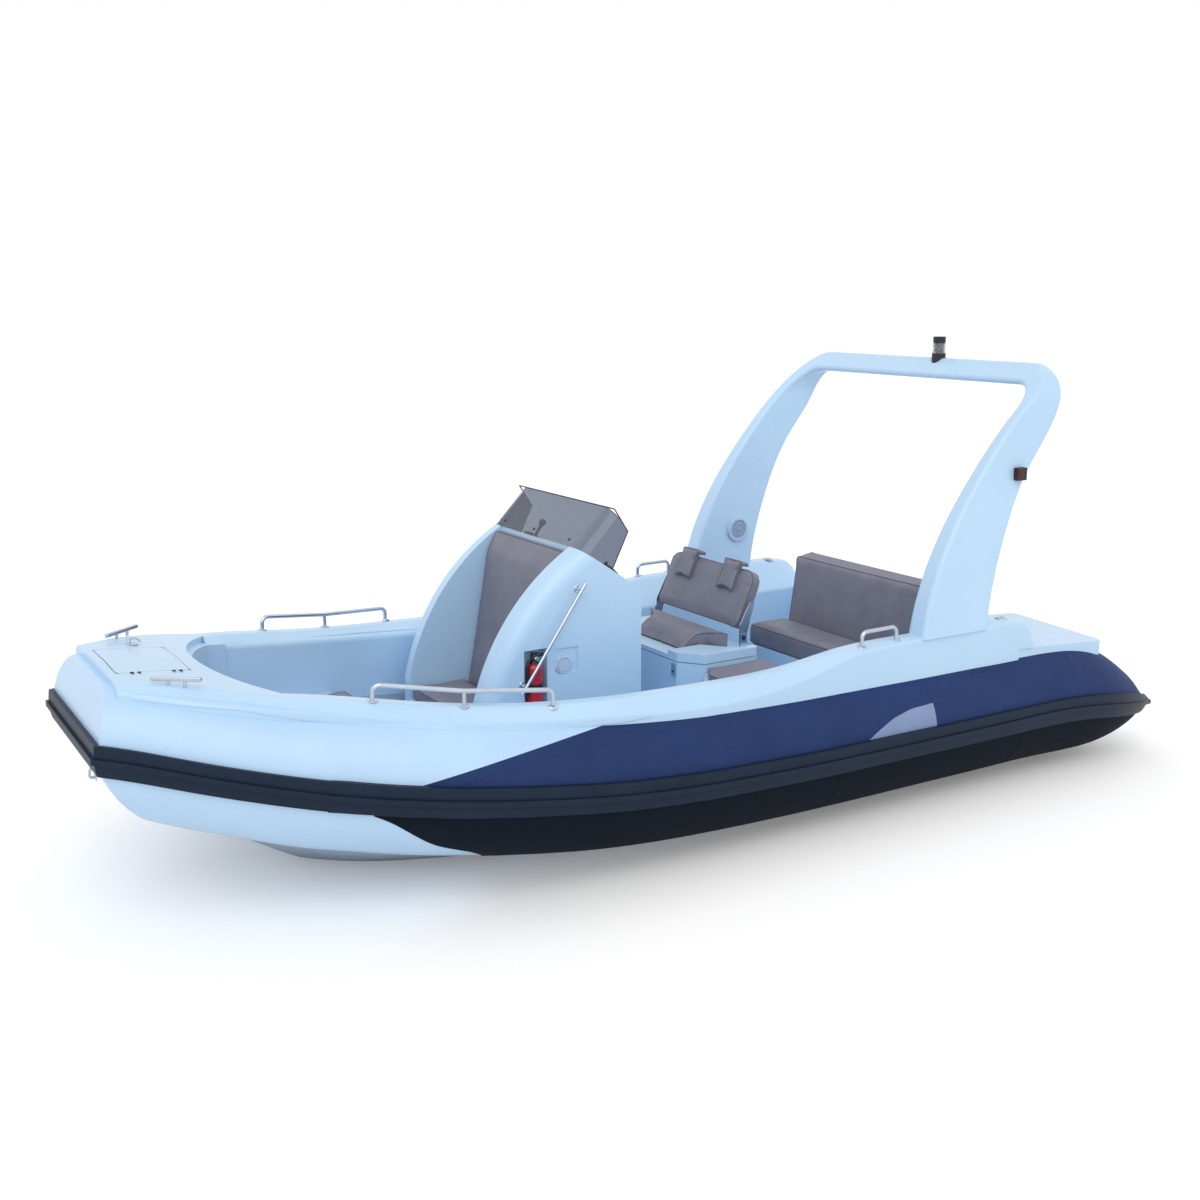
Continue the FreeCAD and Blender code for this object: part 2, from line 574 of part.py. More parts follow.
# Side decks
def side_deck():
    """The port coaming and side deck, from the foredeck to abaft the cockpit."""
    rings = []
    falling = stations(-mm("coaming_end"), -mm("deck_aft_end"), 6)
    for x in falling[:-1] + stations(-mm("deck_aft_end"), mm("deck_start"), 14):
        wide, height, radius = sheer_at(x)
        inner, crown, outer, edge = gunwale_at(x)
        core = wide - radius
        small = mm("deck_edge_round")
        knee = height + radius * 0.96
        wall, low = core - mm("deck_wall"), height - mm("deck_wall")
        corners = [(wall, low, 0), (wall, knee, small),
                   (inner, crown, small), (inner + mm("crown_width"), crown, small),
                   (outer, edge, small / 2), (outer, height + radius * 0.5, 0),
                   (core, height + radius * 0.5, 0), (core, low, 0)]
        rings.append(outline(corners, "YZ", x))
    return Part.makeLoft(rings, True, False)


def under_platform_top(side, edge, low, gap):
    """A block aft of the coaming's foot, under the platform's sloping top, between two sides."""
    slope = (mm("platform_top") - mm("platform_edge_top")) / (mm("platform_edge") - mm("well_half_width"))
    highs = [mm("platform_top") + gap - slope * (y - mm("well_half_width")) for y in (side, edge)]
    face = Part.Face(outline([(side, low, 0), (side, highs[0], 0), (edge, highs[1], 0), (edge, low, 0)],
                             "YZ", -mm("deck_aft_end")))
    return face.extrude(Vector(mm("deck_aft_end") - mm("platform_end"), 0, -mm("platform_fall")))


deck = side_deck().cut(port_tube).cut(bow_form).cut(under_sheer(mm("soft_gap")))
deck = deck.cut(under_platform_top(0, mm("half_beam"), BOTTOM, mm("soft_gap")))
keep_both("side_decks", deck)


# Foredeck
def foredeck_form():
    """The crowned foredeck as one full-width solid."""
    rings = []
    for x in stations(mm("deck_start"), mm("foredeck_front"), 7):
        wide, height, radius = sheer_at(x)
        inner, crown, outer, edge = gunwale_at(x)
        low = height + radius * 0.5
        small = mm("deck_edge_round")
        shoulder = inner + mm("crown_width")
        corners = [(outer, low, 0), (outer, edge, small / 2), (shoulder, crown, small),
                   (0, crown + mm("deck_camber"), 0), (-shoulder, crown, small),
                   (-outer, edge, small / 2), (-outer, low, 0)]
        rings.append(outline(corners, "YZ", x))
    return Part.makeLoft(rings, True, False)


deck_inner = gunwale_at(mm("deck_start"))[0]
upper_cockpit = cockpit(core_at(mm("deck_start")) - deck_inner, mm("sole_top"),
                        mm("cockpit_end") + mm("deck_overhang"))
foredeck = foredeck_form().cut(bow_form).cut(upper_cockpit).cut(locker_space)


# Stern platforms, motor well and bulkhead
deck_end = -mm("deck_aft_end")
aft, around = -mm("platform_end"), mm("platform_round")
side, edge = mm("well_half_width"), mm("platform_edge")
platform_plan = prism([(aft, side, around), (aft, edge, around), (deck_end, edge, 0),
                       (deck_end, side, 0)], "XY", 0, TOP)
over_tube = box((-2 * TOP, TOP), (core_at(deck_end), TOP), (BOTTOM, TOP)).cut(above_platform)
aft_over = box((-2 * TOP, -mm("stern_reach")), (-TOP, TOP), (BOTTOM, TOP)).cut(above_platform)
stern_platform = under_platform_top(side, edge, 0, 0).common(platform_plan).cut([over_tube, aft_over])
stern_platform = stern_platform.cut(under_sheer(mm("soft_gap"))).cut(port_tube)
keep_both("stern_platforms", stern_platform)

bulkhead_half = core_at(deck_end) - mm("liner_wall")
bulkhead = box((deck_end, deck_end + mm("bulkhead_thickness")), (-bulkhead_half, bulkhead_half),
               (mm("sole_top"), mm("bulkhead_top")))
bulkhead = bulkhead.cut(box((-TOP, TOP), (-mm("well_half_width"), mm("well_half_width")),
                            (mm("transom_top"), TOP)))
keep("aft_bulkhead", bulkhead)

# Console: a side profile as wide as the console, with the seat recess, the niche and the
# socket's flat recess cut into it
console_port = mm("console_centre") + mm("console_width") / 2
console_starboard = mm("console_centre") - mm("console_width") / 2


def console_profile():
    """Side view of the console, with its bulged forward wings."""
    low, high = mm("sole_top"), mm("console_rim")
    foot = Vector(mm("console_front"), 0, mm("wing_start"))
    rim = Vector(mm("console_rim_x"), 0, high)
    chord = rim - foot
    across = Vector(chord.z, 0, -chord.x).normalize()
    bend = Part.Arc(foot, foot + chord * 0.5 + across * mm("wing_bulge"), rim).toShape()
    corners = [rim, Vector(mm("dash_aft"), 0, mm("dash_low")),
               Vector(mm("console_aft"), 0, mm("dash_low") * 0.93),
               Vector(mm("console_aft"), 0, low), Vector(mm("console_front"), 0, low), foot]
    lines = [Part.makeLine(corners[i], corners[i + 1]) for i in range(len(corners) - 1)]
    return Part.Wire([bend] + lines)


wire = console_profile()
wire.translate(Vector(0, console_starboard, 0))
console = Part.Face(wire).extrude(Vector(0, mm("console_width"), 0))
recess_half = mm("console_width") / 2 - mm("wing_thickness")
above_rim, past_front = mm("console_rim") * 1.02, mm("console_front") * 1.5
recess_corners = [(mm("recess_foot_x"), mm("recess_floor"), 0), (mm("recess_top_x"), above_rim, 0),
                  (past_front, above_rim, 0), (past_front, mm("recess_floor"), 0)]
recess = prism(recess_corners, "XZ", mm("console_centre") - recess_half,
               mm("console_centre") + recess_half)
niche = box((mm("niche_aft"), mm("niche_front")), (console_port - mm("niche_depth"), TOP),
            (mm("niche_bottom"), mm("niche_top")))
plate_x = mm("niche_aft") - mm("recess_plate") / 2 - mm("recess_gap")
plate_z = mm("niche_top") - mm("recess_plate") * 0.6
flat_recess = box((plate_x - mm("recess_plate") / 2, plate_x + mm("recess_plate") / 2),
                  (console_port - mm("recess_plate_depth"), TOP),
                  (plate_z - mm("recess_plate") / 2, plate_z + mm("recess_plate") / 2))
wing_edges = [e for e in console.Edges if e.CenterOfMass.x > mm("recess_foot_x")
              and abs(e.CenterOfMass.y - mm("console_centre")) > mm("console_width") / 2 - 1
              and e.CenterOfMass.z > mm("wing_start") + 1]
foot_edges = [e for e in console.Edges if abs(e.CenterOfMass.x - mm("console_front")) < 1
              and abs(e.CenterOfMass.y - mm("console_centre")) > mm("console_width") / 2 - 1]
console = console.makeFillet(mm("wing_round"), wing_edges + foot_edges)
console = console.cut([recess, niche, flat_recess])
keep("console", console)

cushion_half = recess_half - mm("soft_gap")
seat_front = mm("console_front") - mm("soft_gap")
front_seat = box((mm("recess_foot_x") + mm("front_back_thickness") + mm("soft_gap") * 3, seat_front),
                 (mm("console_centre") - cushion_half, mm("console_centre") + cushion_half),
                 (mm("recess_floor") + mm("soft_gap"), mm("recess_floor") + mm("front_seat_thickness")))
keep("front_seat_cushion", front_seat)
recess_rise = mm("console_rim") * 1.02 - mm("recess_floor")
back_slope = (mm("recess_top_x") - mm("recess_foot_x")) / recess_rise


def recess_x(z):
    """Place of the recess's leaning back at one height."""
    return mm("recess_foot_x") + back_slope * (z - mm("recess_floor"))


back_low = mm("recess_floor") + mm("soft_gap")
back_high = mm("console_rim") - mm("front_back_drop")
back_fold = back_high - mm("front_back_lean")
corners = [(recess_x(back_low) + mm("soft_gap"), back_low, 0),
           (recess_x(back_high) + mm("soft_gap"), back_high, 0),
           (recess_x(back_high) + mm("front_back_thickness") * 0.5, back_high,
            mm("front_back_top_round")),
           (recess_x(back_fold) + mm("front_back_thickness"), back_fold, mm("front_back_round")),
           (recess_x(back_low) + mm("front_back_thickness"), back_low, 0)]
keep("front_back_cushion", prism(corners, "XZ", mm("console_centre") - cushion_half,
                                 mm("console_centre") + cushion_half))

# Bow cushion on the platform
bow_aft, bow_fore = mm("bow_platform_aft") + mm("soft_gap"), mm("bow_cushion_front")
half_aft, half_fore = mm("bow_cushion_half"), mm("bow_cushion_half") * 0.6
blunt, nose = mm("bow_cushion_round"), mm("bow_cushion_nose_round")
corners = [(bow_aft, -half_aft, blunt), (bow_fore, -half_fore, nose), (bow_fore, half_fore, nose),
           (bow_aft, half_aft, blunt)]
keep("bow_cushion", prism(corners, "XY", mm("bow_platform_top") + mm("soft_gap"),
                          mm("bow_platform_top") + mm("bow_cushion_thickness")))

# Windscreen: a raked front and two returns, open at the top and the back
seat = mm("soft_gap")
dash_slope = (mm("console_rim") - mm("dash_low")) / (mm("console_rim_x") - mm("dash_aft"))


def dash_height(x):
    """Height of the sloping dash at one place."""
    return mm("dash_low") + dash_slope * (x - mm("dash_aft"))


screen_crest = Vector(mm("console_rim_x") - mm("screen_lean"), 0, mm("console_rim") + mm("screen_rise"))
rake_way = (screen_crest - Vector(mm("console_rim_x"), 0, mm("console_rim"))).normalize()
screen_normal = Vector(rake_way.z, 0, -rake_way.x)


def screen_form(inset):
    """The screen's outer form, or its inside when set in by the sheet's thickness."""
    foot = Vector(mm("console_rim_x"), 0, dash_height(mm("console_rim_x")) + seat)
    corners = [foot, screen_crest,
               screen_crest - Vector(mm("screen_aft_run"), 0, mm("screen_aft_drop")),
               Vector(mm("screen_foot"), 0, dash_height(mm("screen_foot")) + seat)]
    if inset:
        back = Vector(-rake_way.z, 0, rake_way.x) * inset
        back = back if back.x < 0 else back * -1
        reach = rake_way * (TOP / 2)
        aft_shift = Vector(TOP, 0, 0)
        corners = [foot + back - reach, screen_crest + back + reach,
                   screen_crest + back + reach - aft_shift, foot + back - reach - aft_shift]
    side_shift = Vector(0, console_starboard + inset, 0)
    face = Part.Face(Part.makePolygon([c + side_shift for c in corners + corners[:1]]))
    form = face.extrude(Vector(0, mm("console_width") - 2 * inset, 0))
    edges = []
    for edge in form.Edges:
        run = (edge.Vertexes[-1].Point - edge.Vertexes[0].Point).normalize()
        on_front = (edge.CenterOfMass - screen_crest).dot(screen_normal) > -inset - 1
        if abs(abs(run.dot(rake_way)) - 1) < 1e-3 and on_front:
            edges.append(edge)
    return form.makeFillet(mm("screen_round") - inset, edges)


keep("windscreen", screen_form(0).cut(screen_form(mm("screen_thickness"))))

# Extinguisher in its niche, socket fitting, grab rails
ext_x = (mm("niche_aft") + mm("niche_front")) / 2
ext_y = console_port - mm("niche_depth") + mm("extinguisher_radius") + seat
bottle = Part.makeCylinder(mm("extinguisher_radius"), mm("extinguisher_height"),
                           Vector(ext_x, ext_y, mm("niche_bottom") + seat))
bottle = bottle.makeFillet(mm("extinguisher_radius") * 0.6, [bottle.Edges[0]])
neck = Part.makeCylinder(mm("extinguisher_radius") * 0.4, mm("extinguisher_radius") * 0.9,
                         Vector(ext_x, ext_y, mm("niche_bottom") + seat + mm("extinguisher_height")))
keep("extinguisher", bottle.fuse(neck))
socket = bound("Part::Cylinder", "console_socket", Radius="Sizes.socket_radius",
               Height="Sizes.socket_depth")
socket.Placement = Placement(Vector(plate_x + mm("socket_shift"), 0, plate_z - mm("socket_drop")),
                             Rotation(Vector(0, 0, 1), Vector(0, 1, 0)))
socket.setExpression("Placement.Base.y", "Sizes.console_centre + Sizes.console_width / 2"
                                         " - Sizes.recess_plate_depth + Sizes.soft_gap")
keep_object(socket)


def swept_tube(points, radius, bend):
    """A round tube along straight runs with tangent bends."""
    edges, last = [], points[0]
    for i in range(1, len(points) - 1):
        before, here, after = points[i - 1], points[i], points[i + 1]
        back, ahead = (before - here).normalize(), (after - here).normalize()
        turn = back.getAngle(ahead)
        reach = bend / math.tan(turn / 2)
        start, end = here + back * reach, here + ahead * reach
        middle_way = (back + ahead).normalize()
        middle = here + middle_way * (bend / math.sin(turn / 2) - bend)
        edges += [Part.makeLine(last, start), Part.Arc(start, middle, end).toShape()]
        last = end
    edges.append(Part.makeLine(last, points[-1]))
    ring = Part.Wire(Part.makeCircle(radius, points[0], (points[1] - points[0])))
    return Part.Wire(edges).makePipeShell([ring], True, True)


rail_r = mm("rail_radius")
grab_out = mm("rail_height") * 0.55
grab_low = Vector(mm("niche_front") + mm("grab_low_fore"), console_port + seat,
                  mm("niche_bottom") + mm("grab_low_rise"))
grab_high = Vector(mm("console_rim_x") + mm("grab_high_fore"), console_port + seat,
                   mm("dash_low") - mm("grab_high_drop"))
along_grab = (grab_high - grab_low).normalize() * mm("rail_end")
out = Vector(0, grab_out, 0)
grab_start = grab_low + out - along_grab
grab_run = (grab_high - grab_low).Length + 2 * mm("rail_end")
grab = Part.makeCylinder(rail_r * 0.8, grab_run, grab_start, along_grab)
grab = grab.fuse([Part.makeCylinder(rail_r * 0.7, grab_out, foot, Vector(0, 1, 0))
                  for foot in (grab_low, grab_high)])
other_grab = grab.mirror(Vector(0, mm("console_centre"), 0), Vector(0, 1, 0))
keep("console_rails", group([grab, other_grab]))

# Steering wheel on its column
tilt = math.radians(mm("wheel_tilt"))
wheel_axis = Vector(-math.cos(tilt), 0, math.sin(tilt))
column_foot = Vector(mm("console_aft") - seat, mm("helm_centre"),
                     mm("wheel_height") - mm("wheel_offset") * math.sin(tilt))
wheel_centre = column_foot + wheel_axis * mm("wheel_offset")
column = Part.makeCylinder(mm("column_radius"), mm("wheel_offset"),
                           column_foot - wheel_axis * mm("wheel_offset") * 0.4, wheel_axis)
column = column.cut(box((mm("console_aft") - seat, TOP), (-TOP, TOP), (-TOP, TOP)))
keep("steering_column", column)
rim_ring = Part.makeTorus(mm("wheel_radius"), mm("wheel_rim"), wheel_centre, wheel_axis)
hub_start = column_foot + wheel_axis * (mm("wheel_offset") * 0.6 + seat)
hub = Part.makeCylinder(mm("column_radius") * 1.15,
                        mm("wheel_offset") * 0.4 - seat + mm("wheel_rim") * 0.5, hub_start, wheel_axis)
spokes = []
for k in range(3):
    arm = Part.makeBox(mm("wheel_radius"), mm("wheel_rim") * 2, mm("wheel_rim") * 0.7,
                       Vector(0, -mm("wheel_rim"), -mm("wheel_rim") * 0.35))
    arm.rotate(Vector(0, 0, 0), Vector(0, 0, 1), 120 * k + 90)
    arm.Placement = Placement(wheel_centre, Rotation(Vector(0, 0, 1), wheel_axis)).multiply(arm.Placement)
    spokes.append(arm)
keep("steering_wheel", joined([rim_ring, hub] + spokes))

# Throttle box on the dash, and the instrument panel
dash_vector = Vector(mm("console_rim_x") - mm("dash_aft"), 0, mm("console_rim") - mm("dash_low"))
dash_way = Vector(dash_vector).normalize()
dash_up = Vector(-dash_way.z, 0, dash_way.x)
DASH_SHARE = 0.42


def dash_spot(side):
    """A place on the middle line of the dash, at one distance from the console's centre."""
    start = Vector(mm("dash_aft"), mm("console_centre") + side, mm("dash_low"))
    return start + dash_vector * DASH_SHARE


def on_dash(item):
    """A block of that name in the sheet, standing square on the sloping dash."""
    length, width = mm(item + "_length"), mm(item + "_width")
    block = Part.makeBox(length, width, mm(item + "_height"), Vector(-length / 2, -width / 2, 0))
    spot = dash_spot(mm(item + "_side")) + dash_up * seat
    block.Placement = Placement(spot, Rotation(Vector(0, 0, 1), dash_up))
    return block


keep("instrument_panel", on_dash("panel"))
lever = Part.makeCylinder(mm("lever_radius"), mm("lever_length"), dash_spot(mm("throttle_side")),
                          dash_up)
keep("throttle", on_dash("throttle").fuse(lever))


def hinge_pair(foot, head, fixed_way, shares):
    """Hinges along a line: outer knuckles, leaves and pin that stay, and middle knuckles that turn."""
    way = (head - foot).normalize()
    turn = Rotation(way, fixed_way, way.cross(fixed_way), "XYZ")
    radius, length, play = mm("hinge_radius"), mm("hinge_length"), mm("hinge_play")
    third = length / 3

    def knuckle(middle, start, run, side, reach):
        """A barrel with its leaf to one side."""
        barrel = Part.makeCylinder(radius, run, Vector(start, 0, 0), Vector(1, 0, 0))
        leaf = Part.makeBox(run, reach, mm("hinge_leaf"),
                            Vector(start, min(0, side * reach), -radius))
        piece = barrel.fuse(leaf)
        piece.Placement = Placement(middle, turn)
        return piece

    fixed, moving, rooms = [], [], []
    for share in shares:
        middle = foot + (head - foot) * share
        start = middle - way * (length / 2)
        pin = Part.makeCylinder(radius / 2, length, start, way)
        bore = Part.makeCylinder(radius / 2 + play / 5, length, start, way)
        outer = [knuckle(middle, place, third - play, 1, mm("hinge_reach"))
                 for place in (-1.5 * third, 0.5 * third + play)]
        fixed.append(joined([pin] + outer))
        moving.append(knuckle(middle, -third / 2, third, -1, mm("lid_leaf")).cut(bore))
        room = Part.makeCylinder(radius + play, third + 2 * play,
                                 middle - way * (third / 2 + play), way)
        slot = Part.makeBox(third + 2 * play, mm("lid_leaf"), TOP,
                            Vector(-third / 2 - play, -mm("lid_leaf"), -radius - play))
        slot.Placement = Placement(middle, turn)
        rooms.append(room.fuse(slot))
    return fixed, moving, rooms


# Helm seat box, hollow, with its lid
starboard_side = mm("helm_centre") - mm("helm_width") / 2
port_side_y = mm("helm_centre") + mm("helm_width") / 2 + mm("seat_gap")


def helm_plan(inset):
    """Plan of the helm box with its cut forward corners, set in by a wall."""
    fx, ax = mm("helm_front") - inset, mm("helm_aft") + inset
    sy, py = starboard_side + inset, port_side_y - inset
    cx, cy = mm("helm_chamfer_x"), mm("helm_chamfer_y")
    aft_round, fore_round = mm("helm_aft_round"), mm("helm_round")
    return [(ax, sy, aft_round), (ax, py, aft_round), (fx - cx, py, fore_round),
            (fx, py - cy, fore_round), (fx, sy + cy, fore_round), (fx - cx, sy, fore_round)]


helm_box = prism(helm_plan(0), "XY", mm("sole_top"), mm("helm_box_top"))
helm_box = helm_box.cut(prism(helm_plan(mm("helm_wall")), "XY", mm("sole_top") + mm("helm_wall"), TOP))
keep("helm_box", helm_box)
lid_low = mm("helm_box_top") + mm("lid_seam")
lid_top = lid_low + mm("helm_lid_thickness")
lid = prism(helm_plan(0), "XY", lid_low, lid_top)
shoulders = prism(helm_plan(0), "XY", lid_top, lid_top + mm("shoulder_height"))
mid = mm("helm_centre")
notch_gap = mm("shoulder_gap")
front_half, rear_half = mm("cushion_front_half"), mm("cushion_rear_half")
waist, rear = mm("helm_front") - mm("cushion_waist"), mm("helm_aft") + mm("cushion_aft_gap")


def seat_plan(growth, fore, aft, rounds):
    """Plan of the helm cushion, narrow in front and wide behind, grown by a gap."""
    side, back = front_half + growth, rear_half + growth
    small, large = rounds
    return [(fore, mid - side, small), (waist + growth, mid - side, large),
            (rear, mid - back, small), (aft, mid - back, 0), (aft, mid + back, 0),
            (rear, mid + back, small), (waist + growth, mid + side, large), (fore, mid + side, small)]


notch = prism(seat_plan(notch_gap, mm("helm_front") + TOP, mm("helm_aft") - TOP, (0, 0)), "XY",
              lid_top, TOP)
hinge_x, hinge_z = mm("helm_aft") - mm("hinge_radius"), (mm("helm_box_top") + lid_low) / 2
box_hinges, helm_leaves = hinge_pair(Vector(hinge_x, starboard_side, hinge_z),
                                     Vector(hinge_x, port_side_y, hinge_z),
                                     Vector(0, 0, -1), (0.2, 0.8))[:2]
lid = joined([lid, shoulders.cut(notch)] + helm_leaves)
keep("helm_lid", lid)
# Cushion with its rolled front edge, wider at the back
cushion_rear = rear - mm("soft_gap")
cushion_plan = prism(seat_plan(0, mm("cushion_fore"), cushion_rear, (0, mm("cushion_waist_round"))),
                     "XY", lid_top + seat, TOP)
cushion_high = lid_top + mm("cushion_thickness")
cushion_side = prism([(mm("cushion_fore"), lid_top + seat, 0),
                      (mm("cushion_crest"), cushion_high, mm("cushion_crest_round")),
                      (cushion_rear, cushion_high + mm("cushion_rise"), mm("cushion_back_round")),
                      (cushion_rear, lid_top + seat, 0)], "XZ", -TOP, TOP)
keep("helm_seat_cushion", cushion_plan.common(cushion_side))

# Backrest on two arms that pivot on brackets on the lid
lean = math.radians(mm("backrest_lean"))
half_back = mm("backrest_width") / 2
back_rounds = mm("backrest_low_round"), mm("backrest_high_round")
back = prism([(0, -half_back, back_rounds[0]), (mm("backrest_height"), -half_back, back_rounds[1]),
              (mm("backrest_height"), half_back, back_rounds[1]), (0, half_back, back_rounds[0])],
             "XY", -mm("backrest_thickness"), 0)
back_place = Placement(Vector(mm("backrest_x"), mid, mm("backrest_foot")),
                       Rotation(Vector(-math.sin(lean), 0, math.cos(lean)), Vector(0, -1, 0),
                                Vector(math.cos(lean), 0, math.sin(lean)), "XYZ"))


def on_backrest(shape):
    """Moves a shape made flat at the origin into the backrest's lean."""
    shape.Placement = back_place.multiply(shape.Placement)
    return shape


keep("helm_backrest", on_backrest(back))
pads = []
for side in (-1, 1):
    middle = side * mm("backrest_width") * 0.25
    low, high = mm("backrest_height") - mm("headrest_drop"), mm("backrest_height")
    thick, behind = mm("headrest_thickness"), -mm("backrest_thickness") * 0.6
    small = mm("headrest_round")
    corners = [(low, seat, small), (low, thick, small),
               (high + thick, thick, mm("headrest_fold_round")), (high + thick, behind, small),
               (high + seat, behind, 0), (high + seat, seat, 0)]
    pads.append(on_backrest(prism(corners, "XZ", middle - mm("headrest_width") / 2,
                                  middle + mm("headrest_width") / 2)))
keep("helm_headrests", group(pads))
pivot_x, pivot_z = mm("pivot_x"), mm("pivot_height")
arms, posts = [], []
for side in (-1, 1):
    face = mid + side * (half_back + seat)
    out_face = mid + side * (half_back + seat + mm("arm_thickness"))
    low_face, high_face = min(face, out_face), max(face, out_face)
    top_mid = back_place.multVec(Vector(mm("backrest_height") * 0.52, 0, -mm("backrest_thickness") / 2))
    foot_mid = back_place.multVec(Vector(mm("backrest_height") * 0.12, 0, -mm("backrest_thickness") / 2))
    half, foot_half, round_foot = mm("arm_half"), mm("arm_foot"), mm("arm_foot_round")
    arm = prism([(pivot_x - foot_half, pivot_z - foot_half, round_foot),
                 (top_mid.x - half, top_mid.z, mm("arm_round")),
                 (top_mid.x + half, top_mid.z + mm("arm_gap"), mm("arm_round")),
                 (foot_mid.x + mm("arm_fore"), foot_mid.z, mm("arm_round")),
                 (pivot_x + foot_half, pivot_z - foot_half, round_foot)],
                "XZ", low_face, high_face)
    hole = Part.makeCylinder(mm("pivot_hole"), TOP, Vector(pivot_x, -TOP / 2, pivot_z),
                             Vector(0, 1, 0))
    arms.append(arm.cut(hole))
    post_near = out_face + side * mm("arm_gap")
    post_far = post_near + side * mm("bracket_thickness")
    post = box((pivot_x - mm("bracket_half"), pivot_x + mm("bracket_half")),
               (min(post_near, post_far), max(post_near, post_far)),
               (lid_top + mm("shoulder_height") + seat, pivot_z + mm("bracket_rise")))
    bolt = Part.makeCylinder(mm("pivot_bolt"), abs(post_near - face),
                             Vector(pivot_x, min(face, post_near), pivot_z), Vector(0, 1, 0))
    posts.append(post.fuse(bolt))
keep("backrest_arms", group(arms))
keep("backrest_brackets", group(posts))

# Latch on the front of the helm box
latch = bound("Part::Box", "latch_block", Length="Sizes.latch_depth - Sizes.soft_gap",
              Width="2 * Sizes.latch_half", Height="Sizes.latch_drop - Sizes.latch_seam",
              Placement__Base__x="Sizes.helm_front + Sizes.soft_gap",
              Placement__Base__z="Sizes.helm_box_top - Sizes.latch_drop",
              Placement__Base__y="Sizes.helm_centre + Sizes.helm_width / 2 + Sizes.seat_gap"
                                 " - Sizes.helm_chamfer_y - Sizes.latch_side - Sizes.latch_half")
helm_latch = doc.addObject("Part::Fillet", "helm_latch")
helm_latch.Base = latch
helm_latch.Edges = [(k, mm("fitting_round"), mm("fitting_round")) for k in range(1, 13)]
keep_object(helm_latch)

# Side seat
sx0, sx1 = -mm("side_seat_aft"), -mm("side_seat_fore")
sy0, sy1 = port_side_y + seat, port_side_y + mm("side_seat_width")
cut_x, cut_y = mm("side_seat_cut_x"), mm("side_seat_cut_y")


def side_plan(inset):
    """Plan of the side seat, with the corner cut off beside the passage."""
    large, small = mm("side_seat_round"), mm("helm_round")
    return [(sx0 + inset, sy0 + inset, small), (sx0 + inset, sy1 - inset, large),
            (sx1 - inset, sy1 - inset, large), (sx1 - inset, sy0 + cut_y, small),
            (sx1 - cut_x, sy0 + inset, small)]


keep("side_seat_box", prism(side_plan(0), "XY", mm("sole_top"), mm("side_seat_top")))
keep("side_seat_cushion", prism(side_plan(mm("side_cushion_inset")), "XY", mm("side_seat_top") + seat,
                                mm("side_seat_top") + mm("side_cushion")))

# Rear bench: its base is a block, its cushions and board are side profiles
keep_object(bound("Part::Box", "bench_base", Length="Sizes.bench_front - Sizes.bench_aft",
                  Width="Sizes.bench_port - Sizes.bench_starboard",
                  Height="Sizes.bench_base_top - Sizes.sole_top",
                  Placement__Base__x="Sizes.bench_aft",
                  Placement__Base__y="Sizes.bench_starboard",
                  Placement__Base__z="Sizes.sole_top"))
pad_low = mm("bench_base_top") + seat
pad_top = mm("bench_base_top") + mm("bench_cushion")
bench_sides = mm("bench_starboard") + mm("bench_inset"), mm("bench_port") - mm("bench_inset")
back_foot, back_round = mm("bench_back_foot"), mm("bench_back_round")
seat_nose = mm("bench_front") + mm("bench_overhang")
keep("bench_seat_cushion", prism([
    (back_foot + seat, pad_low, 0), (back_foot + seat, pad_top, 0),
    (seat_nose, pad_top, mm("bench_round")), (seat_nose, pad_low, mm("bench_foot_round"))],
    "XZ", *bench_sides))
back_top, back_rear = mm("bench_back_top"), back_foot - mm("bench_back_thickness")
back_lean_x = mm("bench_back_lean")
keep("bench_back_cushion", prism([
    (back_foot, pad_low, 0), (back_foot - back_lean_x, back_top - back_round, back_round),
    (back_rear - back_lean_x, back_top, back_round), (back_rear, pad_low, 0)], "XZ", *bench_sides))
board_rear = back_rear - mm("bench_board")
board_top = back_top - mm("bench_board_drop")
keep("bench_backboard", prism([
    (back_rear - seat, pad_low, 0), (back_rear - back_lean_x - seat, board_top, 0),
    (board_rear - back_lean_x, board_top, 0), (board_rear, pad_low, 0)],
    "XZ", mm("bench_starboard"), mm("bench_port")))

# Roll arch: the side view's raked band, the front view's outer form and the opening
ARCH_FRONT_SHARES = ((-0.5375, 0.3975), (-0.5597, 0.4948), (-0.6205, 0.6289), (-0.7191, 0.7673),
                     (-0.8323, 0.8889), (-0.9025, 0.9480), (-0.9580, 0.9990))
ARCH_AFT_SHARES = ((-0.9820, 0.9990), (-0.9800, 0.9480), (-0.9547, 0.8776), (-0.8688, 0.7623),
                   (-0.7929, 0.6080), (-0.7468, 0.4361), (-0.7420, 0.3975))


